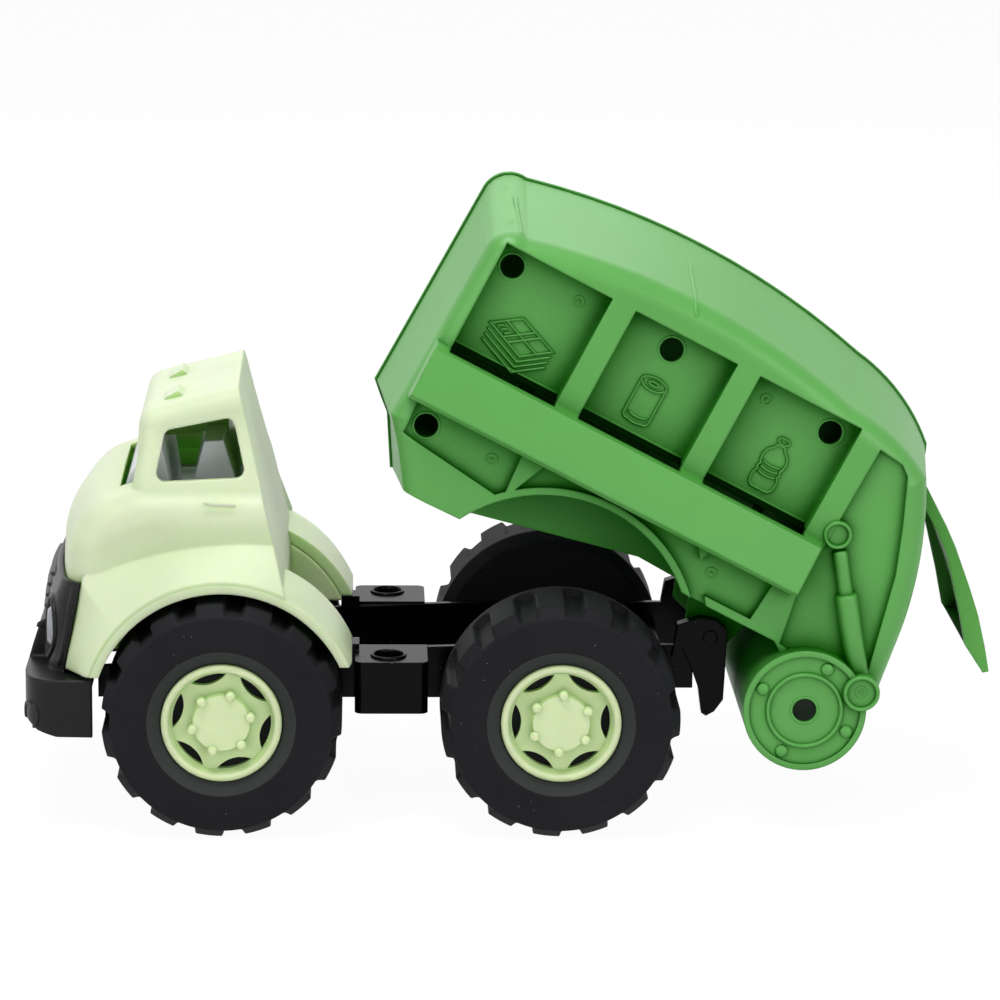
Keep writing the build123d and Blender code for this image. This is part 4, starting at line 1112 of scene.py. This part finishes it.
class TRUCK_OT_mask_details(bpy.types.Operator):
    """Make the grille bars, headlight lips, mask flanges and fog lamp rings"""

    bl_idname = "truck.mask_details"
    bl_label = "Mask details"

    def execute(self, context):
        back = (-1, 0, 0)
        across = np.linspace(-GRILLE_HALF, GRILLE_HALF, GRILLE_STEPS)
        bars = [bumper_line([(RAY_START, y, z) for y in across], back, GRILLE_LINE, False)
                for z in GRILLE_Z]
        t = circle_angles(LAMP_STEPS)
        y, z = LAMP_CENTRE
        ring = [(RAY_START, y + LAMP_LIP[0] * math.cos(a), z + LAMP_LIP[1] * math.sin(a))
                for a in t]
        lip = bumper_line(ring, back, LAMP_LINE, True)
        path = [(x, RAY_START, z) for x, z in curve_through(FLANGE, FLANGE_STEPS)]
        flange = bumper_line(path, (0, -1, 0), FLANGE_LINE, False)
        turn = math.radians(FOG_TURN)
        out = np.array([math.cos(turn), math.sin(turn), 0])
        aside, up = np.array([-out[1], out[0], 0]), np.array([0, 0, 1])
        centre = np.array(FOG_PLACE) + out * FOG_RAY_RUN
        ring = [centre + FOG_RADIUS * (aside * math.cos(a) + up * math.sin(a)) for a in t]
        fog = bumper_line(ring, (-out).tolist(), FOG_LINE, True)
        for name, grids in (("grille_bars", bars), ("headlight_lips", mirrored([lip])),
                            ("mask_flanges", mirrored([flange])),
                            ("fog_lamp_rings", mirrored([fog]))):
            mesh_piece(name, grids, "bumper_black", "frame")
        return {"FINISHED"}


class TRUCK_OT_body_ribs(bpy.types.Operator):
    """Make the two faint ribs that run from the top of each body half down to its panels"""

    bl_idname = "truck.body_ribs"
    bl_label = "Body ribs"

    def execute(self, context):
        ribs = []
        for ends in BODY_RIBS:
            path = curve_through(ends, BODY_RIB_STEPS)
            x, z = raised(path[:, 0], path[:, 1])
            starts = np.stack([x, np.full_like(x, BESIDE_BODY), z], -1)
            ribs.append(laid_line(*laid_on("body_left", starts, (0, -1, 0)), *BODY_RIB_LINE,
                                  False))
        body_detail("body_ribs", ribs)
        return {"FINISHED"}


class TRUCK_OT_door_handles(bpy.types.Operator):
    """Make the faint moulded handle on each side of the cab"""

    bl_idname = "truck.door_handles"
    bl_label = "Door handles"

    def execute(self, context):
        path = np.array(HANDLE_PATH) + HANDLE_AT
        handle = from_front_axle(line_grid(path, *HANDLE_LINE, HANDLE_FACE, False))
        mesh_piece("door_handles", mirrored([(handle, False, False)]), "cab_green", "frame")
        return {"FINISHED"}


# ---- stage ----

CAMERA_PLACE = (0.05305, 1.475, 0.44582)
CAMERA_RIGHT = (-0.99943795, 0.03170553, 0.01088753)
CAMERA_UP = (0.00352245, -0.22365763, 0.97466141)
CAMERA_LENS, CAMERA_SENSOR, CAMERA_CLIP = 147.06, 36.0, (0.05, 50.0)
WHITE = (1, 1, 1, 1)
FLOOR_HALF, FLOOR_GREY, FLOOR_GLOW, FLOOR_SHOWN = 5, (0.86, 0.86, 0.86, 1), 1.04, 0.92
SKY_LIGHT = 0.22
LAMP_AIM = (0, 0, 0.08)
# Each row: name, place, side length, power.
LAMPS = [
    ("Top lamp", (0.2, 0.4, 1.6), 0.7, 16.0),
    ("Front lamp", (1.3, 1.0, 0.6), 0.8, 4.5),
    ("Side lamp", (-0.9, 1.1, 0.5), 0.8, 5.5),
    ("Back lamp", (0.1, -1.2, 1.3), 1.6, 9.0),
]


def turned_to(right, up, place):
    """Matrix of an object at the place whose own x and y are right and up."""
    basis = Matrix(np.stack([right, up, np.cross(right, up)], 1).tolist()).to_4x4()
    basis.translation = place
    return basis


def seen_white(tree):
    """Value that is one for rays from the camera, from reflections and through clear pieces."""
    path = node(tree, "ShaderNodeLightPath")
    seen = path.outputs["Is Camera Ray"]
    for kind in ("Is Glossy Ray", "Is Transmission Ray"):
        either = node(tree, "ShaderNodeMath", {"operation": "MAXIMUM"})
        tree.links.new(seen, either.inputs[0])
        tree.links.new(path.outputs[kind], either.inputs[1])
        seen = either.outputs[0]
    return seen


def blended_surface(tree, share, first, second, out):
    """The first shader blended towards the second by the share, as the surface of the output."""
    mix = node(tree, "ShaderNodeMixShader")
    tree.links.new(share, mix.inputs["Fac"])
    tree.links.new(first.outputs[0], mix.inputs[1])
    tree.links.new(second.outputs[0], mix.inputs[2])
    tree.links.new(mix.outputs[0], out.inputs["Surface"])


def floor_material():
    """White floor that shows its own white to the camera and keeps the shadow faintly."""
    material = bpy.data.materials.new("Stage white")
    material.use_nodes = True
    tree = material.node_tree
    tree.nodes.clear()
    share = node(tree, "ShaderNodeMath", {"operation": "MULTIPLY"})
    share.inputs[1].default_value = FLOOR_SHOWN
    tree.links.new(seen_white(tree), share.inputs[0])
    blended_surface(tree, share.outputs[0],
                    node(tree, "ShaderNodeBsdfDiffuse", Color=FLOOR_GREY),
                    node(tree, "ShaderNodeEmission", Color=WHITE, Strength=FLOOR_GLOW),
                    node(tree, "ShaderNodeOutputMaterial"))
    return material


def area_lamp(scene, name, place, size, power):
    """Square area lamp that points at the truck."""
    data = bpy.data.lights.new(name, "AREA")
    data.shape = "SQUARE"
    data.size = size
    data.energy = power
    lamp = bpy.data.objects.new(name, data)
    scene.collection.objects.link(lamp)
    forward = np.array(LAMP_AIM, float) - np.array(place, float)
    forward /= np.linalg.norm(forward)
    right = np.cross(forward, (0, 0, 1))
    right /= np.linalg.norm(right)
    lamp.matrix_world = turned_to(right, np.cross(right, forward), place)


class TRUCK_OT_stage(bpy.types.Operator):
    """Set the white floor, the soft lamps, the world and the camera"""

    bl_idname = "truck.stage"
    bl_label = "Stage"

    def execute(self, context):
        scene = context.scene
        self.lay_floor(scene)
        for row in LAMPS:
            area_lamp(scene, *row)
        self.light_world(scene)
        self.place_camera(scene)
        scene.view_settings.view_transform = "Standard"
        return {"FINISHED"}

    def lay_floor(self, scene):
        """Flat square at the height of the tyres' feet."""
        mesh = bpy.data.meshes.new("stage_floor")
        corners = [(x * FLOOR_HALF, y * FLOOR_HALF, 0) for y in (-1, 1) for x in (-1, 1)]
        mesh.from_pydata(corners, [], [(0, 1, 3, 2)])
        mesh.materials.append(floor_material())
        floor = bpy.data.objects.new("stage_floor", mesh)
        scene.collection.objects.link(floor)

    def light_world(self, scene):
        """White to the camera and in reflections, and a plain soft light for the rest."""
        world = bpy.data.worlds.new("Studio")
        world.use_nodes = True
        tree = world.node_tree
        tree.nodes.clear()
        blended_surface(tree, seen_white(tree),
                        node(tree, "ShaderNodeBackground", Color=WHITE, Strength=SKY_LIGHT),
                        node(tree, "ShaderNodeBackground", Color=WHITE, Strength=1.0),
                        node(tree, "ShaderNodeOutputWorld"))
        scene.world = world

    def place_camera(self, scene):
        """Long lens from the truck's left side, a little above it."""
        data = bpy.data.cameras.new("Camera")
        data.lens = CAMERA_LENS
        data.sensor_width = CAMERA_SENSOR
        data.clip_start, data.clip_end = CAMERA_CLIP
        camera = bpy.data.objects.new("Camera", data)
        scene.collection.objects.link(camera)
        camera.matrix_world = turned_to(CAMERA_RIGHT, CAMERA_UP, CAMERA_PLACE)
        scene.camera = camera


# ---- add-on ----

PIECE_OPERATORS = (
    TRUCK_OT_mouldings, TRUCK_OT_tyres, TRUCK_OT_hub_knobs, TRUCK_OT_pocket_plates,
    TRUCK_OT_body_seam, TRUCK_OT_drum_fittings, TRUCK_OT_rams, TRUCK_OT_slot_edges,
    TRUCK_OT_mould_marks, TRUCK_OT_panel_pictures, TRUCK_OT_tank_rings, TRUCK_OT_cab_walls,
    TRUCK_OT_mask_details, TRUCK_OT_body_ribs, TRUCK_OT_door_handles, TRUCK_OT_stage,
)


class TRUCK_PT_panel(bpy.types.Panel):
    """Sidebar panel with the sizes, the colours and the pieces"""

    bl_idname = "TRUCK_PT_panel"
    bl_label = "Refuse truck"
    bl_space_type = "VIEW_3D"
    bl_region_type = "UI"
    bl_category = "Refuse truck"

    def draw(self, context):
        for settings in (context.scene.truck_sizes, context.scene.truck_colours):
            box = self.layout.box()
            for name in settings.__annotations__:
                box.prop(settings, name)
        for operator in PIECE_OPERATORS:
            self.layout.operator(operator.bl_idname)


CLASSES = (TRUCK_PG_sizes, TRUCK_PG_colours) + PIECE_OPERATORS + (TRUCK_PT_panel,)


def register():
    """Register the classes and hang the settings on the scene."""
    for item in CLASSES:
        bpy.utils.register_class(item)
    bpy.types.Scene.truck_sizes = PointerProperty(type=TRUCK_PG_sizes)
    bpy.types.Scene.truck_colours = PointerProperty(type=TRUCK_PG_colours)


def unregister():
    """Take the settings and the classes away again."""
    del bpy.types.Scene.truck_colours
    del bpy.types.Scene.truck_sizes
    for item in reversed(CLASSES):
        bpy.utils.unregister_class(item)


def main():
    """Make every piece in order."""
    register()
    for operator in PIECE_OPERATORS:
        group, name = operator.bl_idname.split(".")
        getattr(getattr(bpy.ops, group), name)()
    bpy.context.view_layer.update()


if __name__ == "__main__":
    main()
